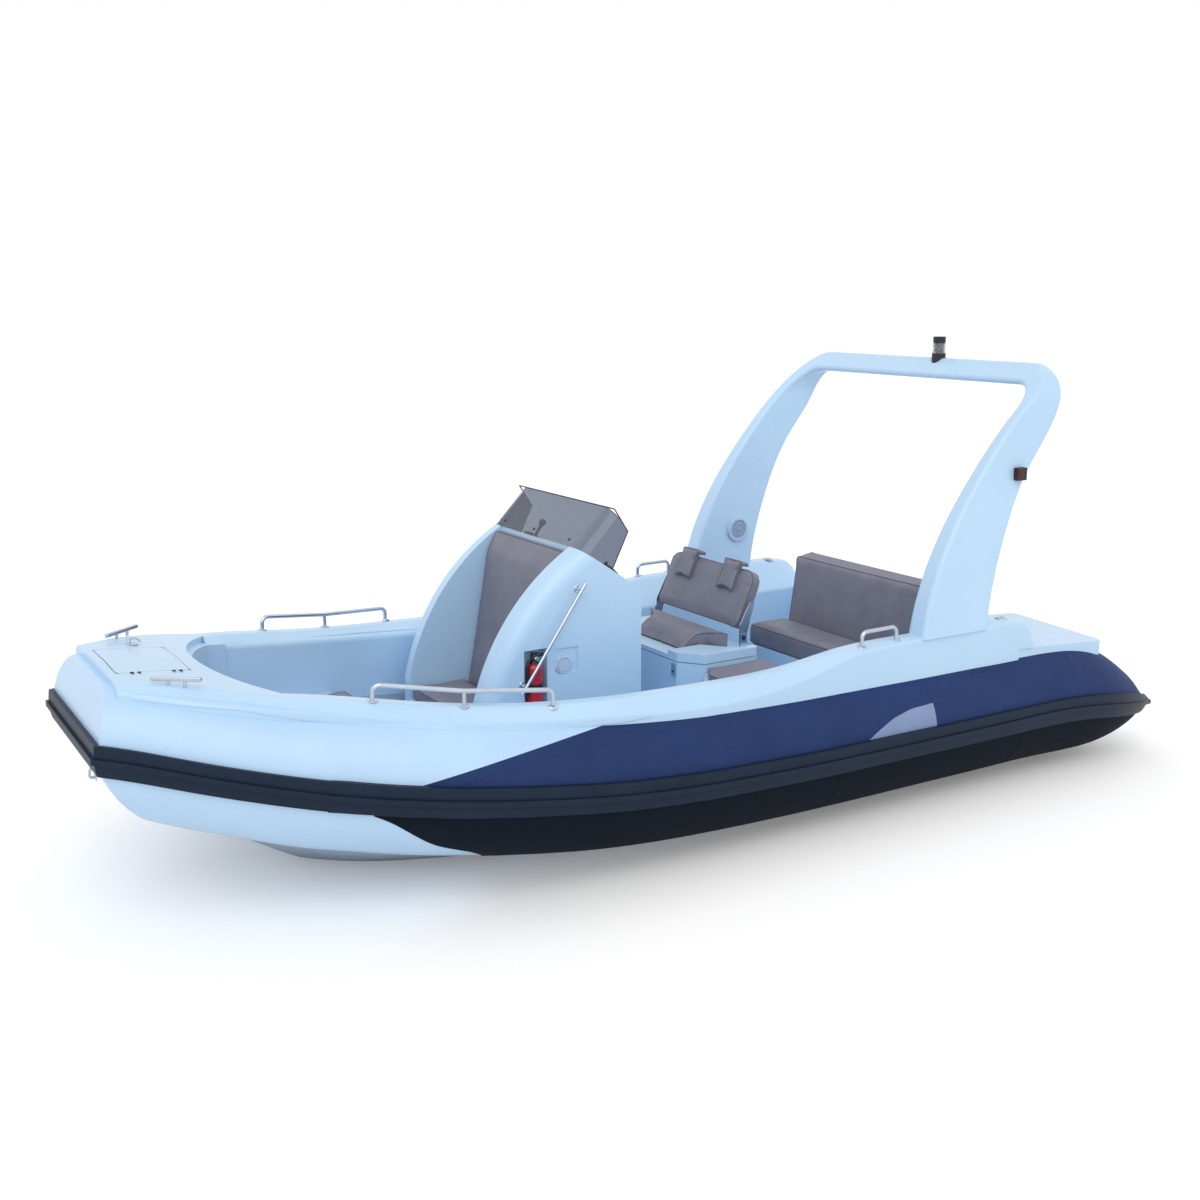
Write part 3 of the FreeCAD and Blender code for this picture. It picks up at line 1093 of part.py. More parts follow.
def arch():
    """The raked band of the side view, cut to the outer form and the opening of the front view."""
    top = mm("arch_top")
    front, aft = Part.BSplineCurve(), Part.BSplineCurve()
    fore_points = [Vector(x * top, -TOP / 2, z * top) for x, z in ARCH_FRONT_SHARES]
    aft_points = [Vector(x * top, -TOP / 2, z * top) for x, z in ARCH_AFT_SHARES]
    front.interpolate(fore_points)
    aft.interpolate(aft_points)
    wire = Part.Wire([front.toShape(), Part.makeLine(fore_points[-1], aft_points[0]), aft.toShape(),
                      Part.makeLine(aft_points[-1], fore_points[0])])
    band = Part.Face(wire).extrude(Vector(0, TOP, 0))
    outer, inner, foot = mm("arch_outer"), mm("arch_inner"), mm("arch_foot") * 0.9
    corner, opening_corner = mm("arch_corner"), mm("arch_opening_corner")
    form = prism([(-outer, foot, 0), (-outer * 0.93, top, corner), (outer * 0.93, top, corner),
                  (outer, foot, 0)], "YZ", -TOP, TOP)
    high = mm("arch_opening_top")
    opening = prism([(-inner, foot, 0), (-inner, high, opening_corner), (inner, high, opening_corner),
                     (inner, foot, 0)], "YZ", -TOP, TOP)
    raw = band.common(form).cut(opening)
    long_edges = [e for e in raw.Edges
                  if e.Length > mm("arch_corner") and e.CenterOfMass.z > mm("arch_foot") * 1.05]
    return raw.makeFillet(mm("arch_round"), long_edges)


arch_form = arch()
arch_form = arch_form.cut([deck, mirrored(deck)])
keep("roll_arch", arch_form)

# Fittings
bow_feet = []
for x_share, y_share in BOW_RAIL_SHARES:
    x = x_share * mm("bow_reach")
    bow_feet.append(Vector(x, y_share * mm("half_beam"), gunwale_at(x)[1] + seat))
rail_up = Vector(0, 0, mm("rail_height"))
bow_rail = swept_tube([bow_feet[0], bow_feet[0] + rail_up, bow_feet[1] + rail_up,
                       bow_feet[2] + rail_up, bow_feet[2]], rail_r, rail_r * 3)
bow_rail = bow_rail.fuse(Part.makeCylinder(rail_r * 0.9, mm("rail_height"), bow_feet[1],
                                           Vector(0, 0, 1)))
handle_feet = [Vector(x, mm("handle_side"), gunwale_at(x)[1])
               for x in (-mm("handle_fore"), -mm("handle_aft"))]
handle_seat = Vector(0, 0, seat)
stern_handle = swept_tube([handle_feet[0] + handle_seat, handle_feet[0] + rail_up,
                           handle_feet[1] + rail_up, handle_feet[1] + handle_seat],
                          rail_r, rail_r * 3)
keep_both("deck_rails", bow_rail.cut(deck), stern_handle.cut(deck))

lid_aft, lid_fore = mm("locker_aft") + mm("lid_gap"), locker_front - mm("lid_gap")
lid_half, lid_round = locker_half - mm("lid_gap"), mm("lid_round")
lid_box = prism([(lid_aft, -lid_half, lid_round), (lid_aft, lid_half, lid_round),
                 (lid_fore, lid_half, lid_round), (lid_fore, -lid_half, lid_round)],
                "XY", mm("bow_sheer"), TOP)
deck_skin = foredeck_form()
under_skin = foredeck_form()
under_skin.translate(Vector(0, 0, -mm("lid_thickness")))
lid_plate = deck_skin.common(lid_box).cut(under_skin)

# Hinge of the locker lid, above the deck beside the lid's port edge
hinge_y = locker_half + mm("hinge_offset")


def deck_top(x, y):
    """Height of the foredeck's top at a place."""
    inner, crown, outer, edge = gunwale_at(x)
    return crown + mm("deck_camber") * (1 - abs(y) / (inner + mm("crown_width")))


hinge_foot = Vector(mm("locker_aft"), hinge_y, deck_top(mm("locker_aft"), hinge_y))
hinge_head = Vector(locker_front, hinge_y, deck_top(locker_front, hinge_y))
hinge_way = (hinge_head - hinge_foot).normalize()
hinge_up = Vector(-hinge_way.z, 0, hinge_way.x)
lift = hinge_up * (mm("hinge_radius") - mm("hinge_leaf") / 2)
deck_hinges, lid_leaves, lid_rooms = hinge_pair(hinge_foot + lift, hinge_head + lift,
                                                Vector(0, 1, 0), (0.2, 0.75))
foredeck = foredeck.cut(lid_rooms)
keep("foredeck", foredeck)
deck_hinges = [hinge.cut(foredeck) for hinge in deck_hinges]
keep("lid_hinges", Part.makeCompound(deck_hinges + box_hinges))
keep("locker_lid", lid_plate.fuse(lid_leaves).removeSplitter())

# Mooring cleats on the shoulders of the bow
cleat_x, cleat_y = mm("cleat_place"), mm("cleat_side")
cleat_z = gunwale_at(cleat_x)[1] + seat
cleat_run, cleat_breadth = mm("cleat_length") / 2, mm("cleat_width") / 2
cleat = box((-cleat_run, cleat_run), (-cleat_breadth, cleat_breadth),
            (mm("cleat_height") - mm("cleat_width"), mm("cleat_height")))
cleat = cleat.makeFillet(mm("cleat_width") * 0.3, cleat.Edges)
for side in (-1, 1):
    cleat = cleat.fuse(Part.makeCylinder(mm("cleat_width") * 0.4, mm("cleat_height") * 0.8,
                                         Vector(side * mm("cleat_length") / 6, 0, 0)))
cleat.rotate(Vector(0, 0, 0), Vector(0, 0, 1), -mm("cleat_turn"))
cleat.translate(Vector(cleat_x, cleat_y, cleat_z))
keep_both("mooring_cleats", cleat.cut(foredeck))

# All-round light, side lights and speakers on the arch
light_foot = Vector(-mm("light_aft"), mm("light_side"), mm("arch_top") * 0.97)
light_base = mm("arch_top") - light_foot.z + mm("light_height") * 0.2
base = Part.makeCylinder(mm("light_radius"), light_base, light_foot).cut(arch_form)
lens_foot = light_foot + Vector(0, 0, light_base)
lens = Part.makeCylinder(mm("light_radius") * 0.75, mm("light_height") * 0.5, lens_foot)
cap = Part.makeCylinder(mm("light_radius") * 0.9, mm("light_height") * 0.3,
                        lens_foot + Vector(0, 0, mm("light_height") * 0.5))
keep("all_round_light", joined([base, lens, cap]))
lamp_half = mm("side_light") / 2
side_light = box((-lamp_half, lamp_half), (0, mm("side_light_depth")), (-lamp_half, lamp_half))
side_light.translate(Vector(-mm("side_light_aft"), mm("side_light_out"), mm("side_light_height")))
keep_both("side_lights",
          side_light.makeFillet(mm("fitting_round"), side_light.Edges).cut(arch_form))
speakers = []
for name, way in (("port", 1), ("starboard", -1)):
    speaker = bound("Part::Cylinder", name + "_speaker", Radius="Sizes.speaker_radius",
                    Height="Sizes.speaker_depth", Placement__Base__x="-Sizes.speaker_aft",
                    Placement__Base__z="Sizes.speaker_height")
    speaker.Placement = Placement(Vector(0, 0, 0), Rotation(Vector(0, 0, 1), Vector(0, -way, 0)))
    speaker.setExpression("Placement.Base.y", f"{way} * (Sizes.arch_inner - Sizes.soft_gap)")
    speakers.append(speaker)
arch_speakers = doc.addObject("Part::Compound", "arch_speakers")
arch_speakers.Links = speakers
keep_object(arch_speakers)

doc.recompute()
for item in BODIES_TO_WRITE:
    if "Invalid" in item.State or "Error" in item.State:
        raise RuntimeError("failed object: " + item.Label)
    if item.Shape.isNull() or not item.Shape.isValid():
        raise RuntimeError("bad shape: " + item.Label)

os.makedirs("parts", exist_ok=True)
for item in BODIES_TO_WRITE:
    item.Shape.exportStep("parts/" + item.Label + ".step")
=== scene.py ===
import math

import bmesh
import bpy
import numpy as np
from mathutils import Matrix, Vector
from mathutils.bvhtree import BVHTree


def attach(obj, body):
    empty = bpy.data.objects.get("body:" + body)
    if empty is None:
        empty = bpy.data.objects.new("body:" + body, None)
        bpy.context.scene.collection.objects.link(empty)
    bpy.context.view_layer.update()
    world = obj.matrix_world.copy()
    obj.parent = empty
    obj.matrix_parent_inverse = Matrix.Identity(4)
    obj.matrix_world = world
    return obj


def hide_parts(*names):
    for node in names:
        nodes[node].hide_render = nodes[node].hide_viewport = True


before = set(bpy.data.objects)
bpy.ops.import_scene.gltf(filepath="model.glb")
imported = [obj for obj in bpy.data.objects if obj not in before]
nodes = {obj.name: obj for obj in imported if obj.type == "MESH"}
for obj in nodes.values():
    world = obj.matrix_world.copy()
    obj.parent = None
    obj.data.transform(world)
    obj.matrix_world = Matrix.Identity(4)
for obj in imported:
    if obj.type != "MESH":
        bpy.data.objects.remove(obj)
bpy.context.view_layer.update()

scene = bpy.context.scene
scene.view_settings.view_transform = "Standard"

# Camera: a person on a quay off the port bow, looking down a little at the boat, with a
# lens slightly shorter than normal.
quay_place = (3.939, 6.261, 2.778)
quay_look = Vector((-0.5130, -0.8297, -0.2205))
eye = bpy.data.cameras.new("quay_camera")
eye.sensor_width = 36
eye.lens = 40.92
camera = bpy.data.objects.new("quay_camera", eye)
scene.collection.objects.link(camera)
camera.location = quay_place
camera.rotation_mode = "QUATERNION"
camera.rotation_quaternion = quay_look.to_track_quat("-Z", "Y")
scene.camera = camera

# Daylight: an even bright sky with a soft sun high over the bow, as on a thinly clouded
# day. The sky itself shows plain white.
sky = bpy.data.worlds.new("bright_sky")
sky.use_nodes = True
scene.world = sky
sky_tree = sky.node_tree
sky_light = sky_tree.nodes["Background"]
sky_light.inputs["Color"].default_value = (1, 1, 1, 1)
sky_light.inputs["Strength"].default_value = 0.80
sky_seen = sky_tree.nodes.new("ShaderNodeBackground")
sky_seen.inputs["Color"].default_value = (1, 1, 1, 1)
sky_ray = sky_tree.nodes.new("ShaderNodeLightPath")
sky_most = sky_tree.nodes.new("ShaderNodeMath")
sky_most.operation = "MAXIMUM"
sky_any = sky_tree.nodes.new("ShaderNodeMath")
sky_any.operation = "MAXIMUM"
sky_mix = sky_tree.nodes.new("ShaderNodeMixShader")
sky_tree.links.new(sky_ray.outputs["Is Camera Ray"], sky_most.inputs[0])
sky_tree.links.new(sky_ray.outputs["Is Transmission Ray"], sky_most.inputs[1])
sky_tree.links.new(sky_most.outputs[0], sky_any.inputs[0])
sky_tree.links.new(sky_ray.outputs["Is Glossy Ray"], sky_any.inputs[1])
sky_tree.links.new(sky_any.outputs[0], sky_mix.inputs[0])
sky_tree.links.new(sky_light.outputs[0], sky_mix.inputs[1])
sky_tree.links.new(sky_seen.outputs[0], sky_mix.inputs[2])
sky_tree.links.new(sky_mix.outputs[0], sky_tree.nodes["World Output"].inputs["Surface"])

sun_way = Vector((-0.45, -0.65, -0.85))
sun = bpy.data.lights.new("soft_sun", "SUN")
sun.energy = 0.85
sun.angle = math.radians(50)
sun_lamp = bpy.data.objects.new("soft_sun", sun)
scene.collection.objects.link(sun_lamp)
sun_lamp.rotation_mode = "QUATERNION"
sun_lamp.rotation_quaternion = sun_way.to_track_quat("-Z", "Y")

# Floor: a plain pale sheet at the boat's waterline, so that the boat sits in it as it
# floats. It is white and keeps the boat's shadow.
floor_size = 60
floor_lift = 0.14
floor_mesh = bpy.data.meshes.new("pale_floor")
work = bmesh.new()
bmesh.ops.create_grid(work, x_segments=1, y_segments=1, size=floor_size)
work.to_mesh(floor_mesh)
work.free()
floor = bpy.data.objects.new("pale_floor", floor_mesh)
scene.collection.objects.link(floor)
floor_paint = bpy.data.materials.new("pale_floor")
floor_paint.use_nodes = True
floor_tree = floor_paint.node_tree
floor_shader = floor_tree.nodes["Principled BSDF"]
floor_shader.inputs["Base Color"].default_value = (0.97, 0.97, 0.97, 1)
floor_shader.inputs["Roughness"].default_value = 1.0
floor_shader.inputs["Specular IOR Level"].default_value = 0.0
floor_glow = floor_tree.nodes.new("ShaderNodeLightPath")
floor_shader.inputs["Emission Color"].default_value = (1, 1, 1, 1)
floor_scale = floor_tree.nodes.new("ShaderNodeMath")
floor_scale.operation = "MULTIPLY"
floor_scale.inputs[1].default_value = floor_lift
floor_tree.links.new(floor_glow.outputs["Is Camera Ray"], floor_scale.inputs[0])
floor_tree.links.new(floor_scale.outputs[0], floor_shader.inputs["Emission Strength"])
floor_mesh.materials.append(floor_paint)


# Hull: a deep vee in glass fibre with a gelcoat skin, laid up in a mould. The skin is
# slightly uneven and a little duller where it has weathered. Under the chines its colour
# is a greyer, darker copy of the decks' gelcoat: partly the hull's own grey-white and partly
# painted shade for the shaded underside.
def tone(red, green, blue):
    """A colour as paint charts give it, 0 to 255, as the shader's linear values."""
    full, dark = 255, 10.3
    linear = [c / full / 12.92 if c < dark else ((c / full + 0.055) / 1.055) ** 2.4
              for c in (red, green, blue)]
    return (*linear, 1.0)


def effect(name, inputs):
    """A shader node group with named inputs that puts out colour, roughness and height."""
    group = bpy.data.node_groups.new(name, "ShaderNodeTree")
    for label, value in inputs.items():
        kind = "NodeSocketFloat" if isinstance(value, float) else "NodeSocketColor"
        group.interface.new_socket(name=label, in_out="INPUT", socket_type=kind).default_value = value
    for label, kind in (("Color", "NodeSocketColor"), ("Roughness", "NodeSocketFloat"),
                        ("Height", "NodeSocketFloat")):
        group.interface.new_socket(name=label, in_out="OUTPUT", socket_type=kind)
    return group, group.nodes.new("NodeGroupInput"), group.nodes.new("NodeGroupOutput")


def node(tree, kind, links=(), **settings):
    """A node in a tree, with its settings and what feeds each of its inputs."""
    made = tree.nodes.new(kind)
    for key, value in settings.items():
        setattr(made, key, value)
    for socket, source in dict(links).items():
        if hasattr(source, "is_output"):
            tree.links.new(source, made.inputs[socket])
        else:
            made.inputs[socket].default_value = source
    return made


def blended(tree, share, first, second):
    """A colour between two, by a share."""
    mix = node(tree, "ShaderNodeMix", data_type="RGBA")
    for socket, source in ((mix.inputs[0], share), (mix.inputs[6], first), (mix.inputs[7], second)):
        tree.links.new(source, socket)
    return mix.outputs[2]


skin, skin_in, skin_out = effect("weathered_skin", {
    "Base": (0.8, 0.8, 0.8, 1), "Worn": (0.6, 0.6, 0.6, 1), "Patch Scale": 1.6, "Patch Share": 0.5,
    "Grain Scale": 90.0, "Roughness": 0.35, "Roughness Spread": 0.12})
place = node(skin, "ShaderNodeTexCoord").outputs["Object"]
patches = node(skin, "ShaderNodeTexNoise", {"Vector": place, "Scale": skin_in.outputs["Patch Scale"],
                                            "Detail": 6.0, "Roughness": 0.62})
grain = node(skin, "ShaderNodeTexNoise", {"Vector": place, "Scale": skin_in.outputs["Grain Scale"],
                                          "Detail": 3.0})
spread = node(skin, "ShaderNodeMapRange", {"Value": patches.outputs["Fac"], "From Min": 0.32,
                                           "From Max": 0.72})
share = node(skin, "ShaderNodeMath", {0: spread.outputs[0], 1: skin_in.outputs["Patch Share"]},
             operation="MULTIPLY")
skin.links.new(blended(skin, share.outputs[0], skin_in.outputs["Base"], skin_in.outputs["Worn"]),
               skin_out.inputs["Color"])
dull = node(skin, "ShaderNodeMath", {0: grain.outputs["Fac"], 1: patches.outputs["Fac"]},
            operation="MULTIPLY")
duller = node(skin, "ShaderNodeMath", {0: dull.outputs[0], 1: skin_in.outputs["Roughness Spread"],
                                       2: skin_in.outputs["Roughness"]}, operation="MULTIPLY_ADD")
skin.links.new(duller.outputs[0], skin_out.inputs["Roughness"])
skin.links.new(grain.outputs["Fac"], skin_out.inputs["Height"])


def finish(name, group, values, depth, **plain):
    """A material whose colour, roughness and bumps come from one effect."""
    material = bpy.data.materials.new(name)
    material.use_nodes = True
    tree = material.node_tree
    shader = tree.nodes["Principled BSDF"]
    surface = node(tree, "ShaderNodeGroup", node_tree=group)
    for label, value in values.items():
        surface.inputs[label].default_value = value
    bumps = node(tree, "ShaderNodeBump", {"Distance": depth, "Height": surface.outputs["Height"]})
    tree.links.new(surface.outputs["Color"], shader.inputs["Base Color"])
    tree.links.new(surface.outputs["Roughness"], shader.inputs["Roughness"])
    tree.links.new(bumps.outputs["Normal"], shader.inputs["Normal"])
    for label, value in plain.items():
        shader.inputs[label.replace("_", " ")].default_value = value
    return material


def clad(name, material):
    """Gives a node of the frame its finish."""
    piece = nodes[name]
    if not piece.material_slots:
        piece.data.materials.append(material)
    for slot in piece.material_slots:
        slot.material = material


# The greyer, darker base is partly painted shade for the hull's shaded underside.
hull_gelcoat = finish("hull_gelcoat", skin, {
    "Base": tone(178, 196, 216), "Worn": tone(158, 174, 192), "Patch Scale": 1.1, "Patch Share": 0.8,
    "Roughness": 0.34}, depth=0.0002)
clad("hull", hull_gelcoat)

# Transom, decks and mouldings: white gelcoat over glass fibre, polished from the mould,
# with a fine orange peel and faint chalky patches.
white_gelcoat = finish("white_gelcoat", skin, {
    "Base": tone(190, 222, 249), "Worn": tone(182, 213, 241), "Patch Scale": 1.4, "Patch Share": 0.7,
    "Grain Scale": 120.0, "Roughness": 0.26}, depth=0.00015, Coat_Weight=0.15, Coat_Roughness=0.12)
for moulding in ("transom", "side_decks", "foredeck", "stern_platforms", "aft_bulkhead", "console",
                 "helm_box", "helm_lid", "side_seat_box", "bench_base", "bench_backboard", "roll_arch",
                 "locker_lid"):
    clad(moulding, white_gelcoat)

# Cockpit sole and bow platform: the same gelcoat with a moulded non-slip pattern of small
# raised diamonds.
tread, tread_in, tread_out = effect("diamond_tread", {
    "Base": (0.8, 0.8, 0.8, 1), "Worn": (0.6, 0.6, 0.6, 1), "Pitch": 0.014, "Roughness": 0.5})
tread_place = node(tread, "ShaderNodeSeparateXYZ", {0: node(tread, "ShaderNodeTexCoord").outputs["Object"]})
ways = []
for operation in ("ADD", "SUBTRACT"):
    slant = node(tread, "ShaderNodeMath", {0: tread_place.outputs[0], 1: tread_place.outputs[1]},
                 operation=operation)
    turns = node(tread, "ShaderNodeMath", {0: slant.outputs[0], 1: tread_in.outputs["Pitch"]},
                 operation="DIVIDE")
    ways.append(node(tread, "ShaderNodeMath", {0: turns.outputs[0], 1: 1.0}, operation="PINGPONG"))
studs = node(tread, "ShaderNodeMath", {0: ways[0].outputs[0], 1: ways[1].outputs[0]}, operation="MULTIPLY")
raised = node(tread, "ShaderNodeMapRange", {"Value": studs.outputs[0], "From Min": 0.18, "From Max": 0.34})
# The grooves between the raised diamonds take the darker colour, and the diamonds' tops take the base
# colour.
tread.links.new(blended(tread, raised.outputs[0], tread_in.outputs["Worn"], tread_in.outputs["Base"]),
                tread_out.inputs["Color"])
tread.links.new(tread_in.outputs["Roughness"], tread_out.inputs["Roughness"])
tread.links.new(raised.outputs[0], tread_out.inputs["Height"])
sole_gelcoat = finish("sole_gelcoat", tread, {
    "Base": tone(186, 216, 243), "Worn": tone(170, 198, 224), "Roughness": 0.5}, depth=0.0008)
clad("cockpit_sole", sole_gelcoat)
clad("bow_platform", sole_gelcoat)

# Bow: the white collar round the stem, moulded in glass fibre in one piece with the nose
# and bonded to the hull.
bow_gelcoat = finish("bow_gelcoat", skin, {
    "Base": tone(188, 220, 249), "Worn": tone(178, 208, 237), "Patch Scale": 1.0, "Patch Share": 0.8,
    "Roughness": 0.3}, depth=0.0002, Coat_Weight=0.1, Coat_Roughness=0.15)
clad("collar_bow", bow_gelcoat)

# Side tubes: coated boat fabric glued into two long air tubes, with a fine weave under a
# matt skin and slight fading on top.
cloth, cloth_in, cloth_out = effect("coated_fabric", {
    "Base": (0.1, 0.1, 0.3, 1), "Worn": (0.2, 0.2, 0.4, 1), "Weave Pitch": 0.0016, "Roughness": 0.55})
cloth_place = node(cloth, "ShaderNodeTexCoord").outputs["Object"]
cloth_parts = node(cloth, "ShaderNodeSeparateXYZ", {0: cloth_place})
threads = []
for axis in range(3):
    turns = node(cloth, "ShaderNodeMath", {0: cloth_parts.outputs[axis],
                                           1: cloth_in.outputs["Weave Pitch"]}, operation="DIVIDE")
    threads.append(node(cloth, "ShaderNodeMath", {0: turns.outputs[0], 1: 0.5}, operation="PINGPONG"))
woven = node(cloth, "ShaderNodeMath", {0: threads[0].outputs[0], 1: threads[1].outputs[0]}, operation="ADD")
woven = node(cloth, "ShaderNodeMath", {0: woven.outputs[0], 1: threads[2].outputs[0]}, operation="ADD")
folds = node(cloth, "ShaderNodeTexNoise", {"Vector": cloth_place, "Scale": 3.2, "Detail": 7.0,
                                           "Roughness": 0.55})
faded = node(cloth, "ShaderNodeMapRange", {"Value": folds.outputs["Fac"], "From Min": 0.35,
                                           "From Max": 0.7})
cloth.links.new(blended(cloth, faded.outputs[0], cloth_in.outputs["Base"], cloth_in.outputs["Worn"]),
                cloth_out.inputs["Color"])
matt = node(cloth, "ShaderNodeMath", {0: folds.outputs["Fac"], 1: 0.2, 2: cloth_in.outputs["Roughness"]},
            operation="MULTIPLY_ADD")
cloth.links.new(matt.outputs[0], cloth_out.inputs["Roughness"])
fine = node(cloth, "ShaderNodeMath", {0: woven.outputs[0], 1: 0.12, 2: folds.outputs["Fac"]},
            operation="MULTIPLY_ADD")
cloth.links.new(fine.outputs[0], cloth_out.inputs["Height"])
navy_fabric = finish("navy_fabric", cloth, {
    "Base": tone(22, 46, 94), "Worn": tone(30, 55, 106), "Roughness": 0.5}, depth=0.0016,
    Specular_IOR_Level=0.25)
clad("side_tubes", navy_fabric)

# Wear panels: a second, heavier layer of near-black coated fabric glued round the lower
# half of the tubes.
panel_fabric = finish("panel_fabric", cloth, {
    "Base": tone(6, 17, 29), "Worn": tone(11, 23, 37), "Roughness": 0.6}, depth=0.0012,
    Specular_IOR_Level=0.12)
clad("wear_panels", panel_fabric)

# Rubbing strake: an extruded black rubber band with a ridge, glued round the whole sheer
# line.
strake_rubber = finish("strake_rubber", skin, {
    "Base": tone(10, 29, 50), "Worn": tone(17, 38, 62), "Patch Scale": 5.0, "Patch Share": 0.7,
    "Grain Scale": 260.0, "Roughness": 0.42}, depth=0.0003, Specular_IOR_Level=0.25)
clad("rubbing_strake", strake_rubber)

# Windscreen: smoked acrylic sheet, bent warm at the corners, polished at its edges and
# screwed to the console.
smoke = bpy.data.materials.new("smoked_acrylic")
smoke.use_nodes = True
smoke_tree = smoke.node_tree
smoke_shader = smoke_tree.nodes["Principled BSDF"]
smoke_skin = node(smoke_tree, "ShaderNodeGroup", node_tree=skin)
for label, value in {"Base": tone(118, 128, 148), "Worn": tone(108, 118, 138), "Patch Scale": 3.0,
                     "Roughness": 0.02, "Roughness Spread": 0.04}.items():
    smoke_skin.inputs[label].default_value = value
smoke_tree.links.new(smoke_skin.outputs["Color"], smoke_shader.inputs["Base Color"])
smoke_tree.links.new(smoke_skin.outputs["Roughness"], smoke_shader.inputs["Roughness"])
smoke_shader.inputs["Transmission Weight"].default_value = 1.0
smoke_shader.inputs["IOR"].default_value = 1.49
clad("windscreen", smoke)

# Rails, cleats, latch and seat arms: polished stainless steel, bent and welded, and screwed
# or bolted through the mouldings.
polished_steel = finish("polished_steel", skin, {
    "Base": tone(200, 210, 222), "Worn": tone(180, 190, 204), "Patch Scale": 14.0, "Patch Share": 0.6,
    "Grain Scale": 300.0, "Roughness": 0.16, "Roughness Spread": 0.2}, depth=0.0001, Metallic=1.0)
for fitting in ("deck_rails", "console_rails", "mooring_cleats", "helm_latch", "backrest_arms",
                "backrest_brackets"):
    clad(fitting, polished_steel)

# Black fittings: wheel, column, dash panel, throttle, lamps' bodies and the lid's hinges,
# all moulded in plastic with a fine grain.
black_plastic = finish("black_plastic", skin, {
    "Base": tone(22, 24, 30), "Worn": tone(36, 38, 46), "Patch Scale": 20.0, "Patch Share": 0.5,
    "Grain Scale": 500.0, "Roughness": 0.4}, depth=0.0002)
for fitting in ("steering_column", "steering_wheel", "instrument_panel", "throttle", "lid_hinges",
                "all_round_light", "side_lights"):
    clad(fitting, black_plastic)

# White fittings: the speakers' bodies in the arch and the power socket's, moulded in white
# plastic and screwed in from outside.
white_plastic = finish("white_plastic", skin, {
    "Base": tone(184, 210, 236), "Worn": tone(168, 194, 220), "Patch Scale": 12.0, "Grain Scale": 400.0,
    "Roughness": 0.4}, depth=0.0001)
clad("arch_speakers", white_plastic)
clad("console_socket", white_plastic)

# Extinguisher: a drawn steel bottle under thick red enamel, standing in its niche in the
# console.
red_enamel = finish("red_enamel", skin, {
    "Base": tone(196, 30, 44), "Worn": tone(176, 24, 38), "Patch Scale": 9.0, "Patch Share": 0.6,
    "Grain Scale": 150.0, "Roughness": 0.25}, depth=0.0001, Coat_Weight=0.3, Coat_Roughness=0.1)
clad("extinguisher", red_enamel)

# Cushions: closed foam blocks under taupe artificial leather, cut and sewn so that they
# crown in the middle and pull in between the corners.
hide, hide_in, hide_out = effect("leather_grain", {
    "Base": (0.2, 0.2, 0.2, 1), "Worn": (0.3, 0.3, 0.3, 1), "Grain Scale": 420.0, "Roughness": 0.5})
hide_place = node(hide, "ShaderNodeTexCoord").outputs["Object"]
cells = node(hide, "ShaderNodeTexVoronoi", {"Vector": hide_place, "Scale": hide_in.outputs["Grain Scale"]})
creases = node(hide, "ShaderNodeTexNoise", {"Vector": hide_place, "Scale": 7.0, "Detail": 8.0,
                                            "Roughness": 0.6})
rubbed = node(hide, "ShaderNodeMapRange", {"Value": creases.outputs["Fac"], "From Min": 0.35,
                                           "From Max": 0.7})
hide.links.new(blended(hide, rubbed.outputs[0], hide_in.outputs["Base"], hide_in.outputs["Worn"]),
               hide_out.inputs["Color"])
handled = node(hide, "ShaderNodeMath", {0: creases.outputs["Fac"], 1: 0.18,
                                        2: hide_in.outputs["Roughness"]}, operation="MULTIPLY_ADD")
hide.links.new(handled.outputs[0], hide_out.inputs["Roughness"])
pores = node(hide, "ShaderNodeMath", {0: cells.outputs["Distance"], 1: 0.25, 2: creases.outputs["Fac"]},
             operation="MULTIPLY_ADD")
hide.links.new(pores.outputs[0], hide_out.inputs["Height"])
taupe_leather = finish("taupe_leather", hide, {
    "Base": tone(118, 119, 134), "Worn": tone(130, 131, 146), "Roughness": 0.42}, depth=0.0015,
    Specular_IOR_Level=0.4)
# The piping cord is real, but its leather is a darker copy of the taupe: painted shade for the dark lines
# along the cushions' edges.
cord_leather = finish("cord_leather", hide, {
    "Base": tone(86, 87, 102), "Worn": tone(96, 97, 112), "Roughness": 0.5}, depth=0.0008)
weld = 0.00005
fine_weld = 0.00002
fewest_points = 12
seam_gap = 0.006
swell_steps = 20
cord_pitch = 0.012
cord_lift = 0.001
cord_radius = 0.0032
cord_sides = 6


def points_of(mesh):
    """A mesh's points as an array."""
    values = np.zeros(len(mesh.vertices) * 3, np.float32)
    mesh.vertices.foreach_get("co", values)
    return values.reshape(-1, 3).astype(float)


def baked(piece):
    """The piece's mesh with its modifiers applied."""
    shown = bpy.context.evaluated_depsgraph_get()
    mesh = bpy.data.meshes.new_from_object(piece.evaluated_get(shown))
    piece.modifiers.clear()
    piece.data = mesh
    return mesh


def surface_of(pieces):
    """The outer faces of some objects, for laying things on."""
    points, faces = [], []
    for piece in pieces:
        first = len(points)
        points += [piece.matrix_world @ v.co for v in piece.data.vertices]
        faces += [[first + i for i in face.vertices] for face in piece.data.polygons]
    return BVHTree.FromPolygons(points, faces)


def as_piece(name, work, material, body="boat", crease=35):
    """A finished object from a bmesh, that rides on a body of the frame."""
    bmesh.ops.remove_doubles(work, verts=work.verts, dist=fine_weld)
    bmesh.ops.recalc_face_normals(work, faces=work.faces)
    mesh = bpy.data.meshes.new(name)
    work.to_mesh(mesh)
    work.free()
    mesh.materials.append(material)
    mesh.shade_smooth()
    mesh.set_sharp_from_angle(angle=math.radians(crease))
    piece = bpy.data.objects.new(name, mesh)
    scene.collection.objects.link(piece)
    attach(piece, body)
    return piece


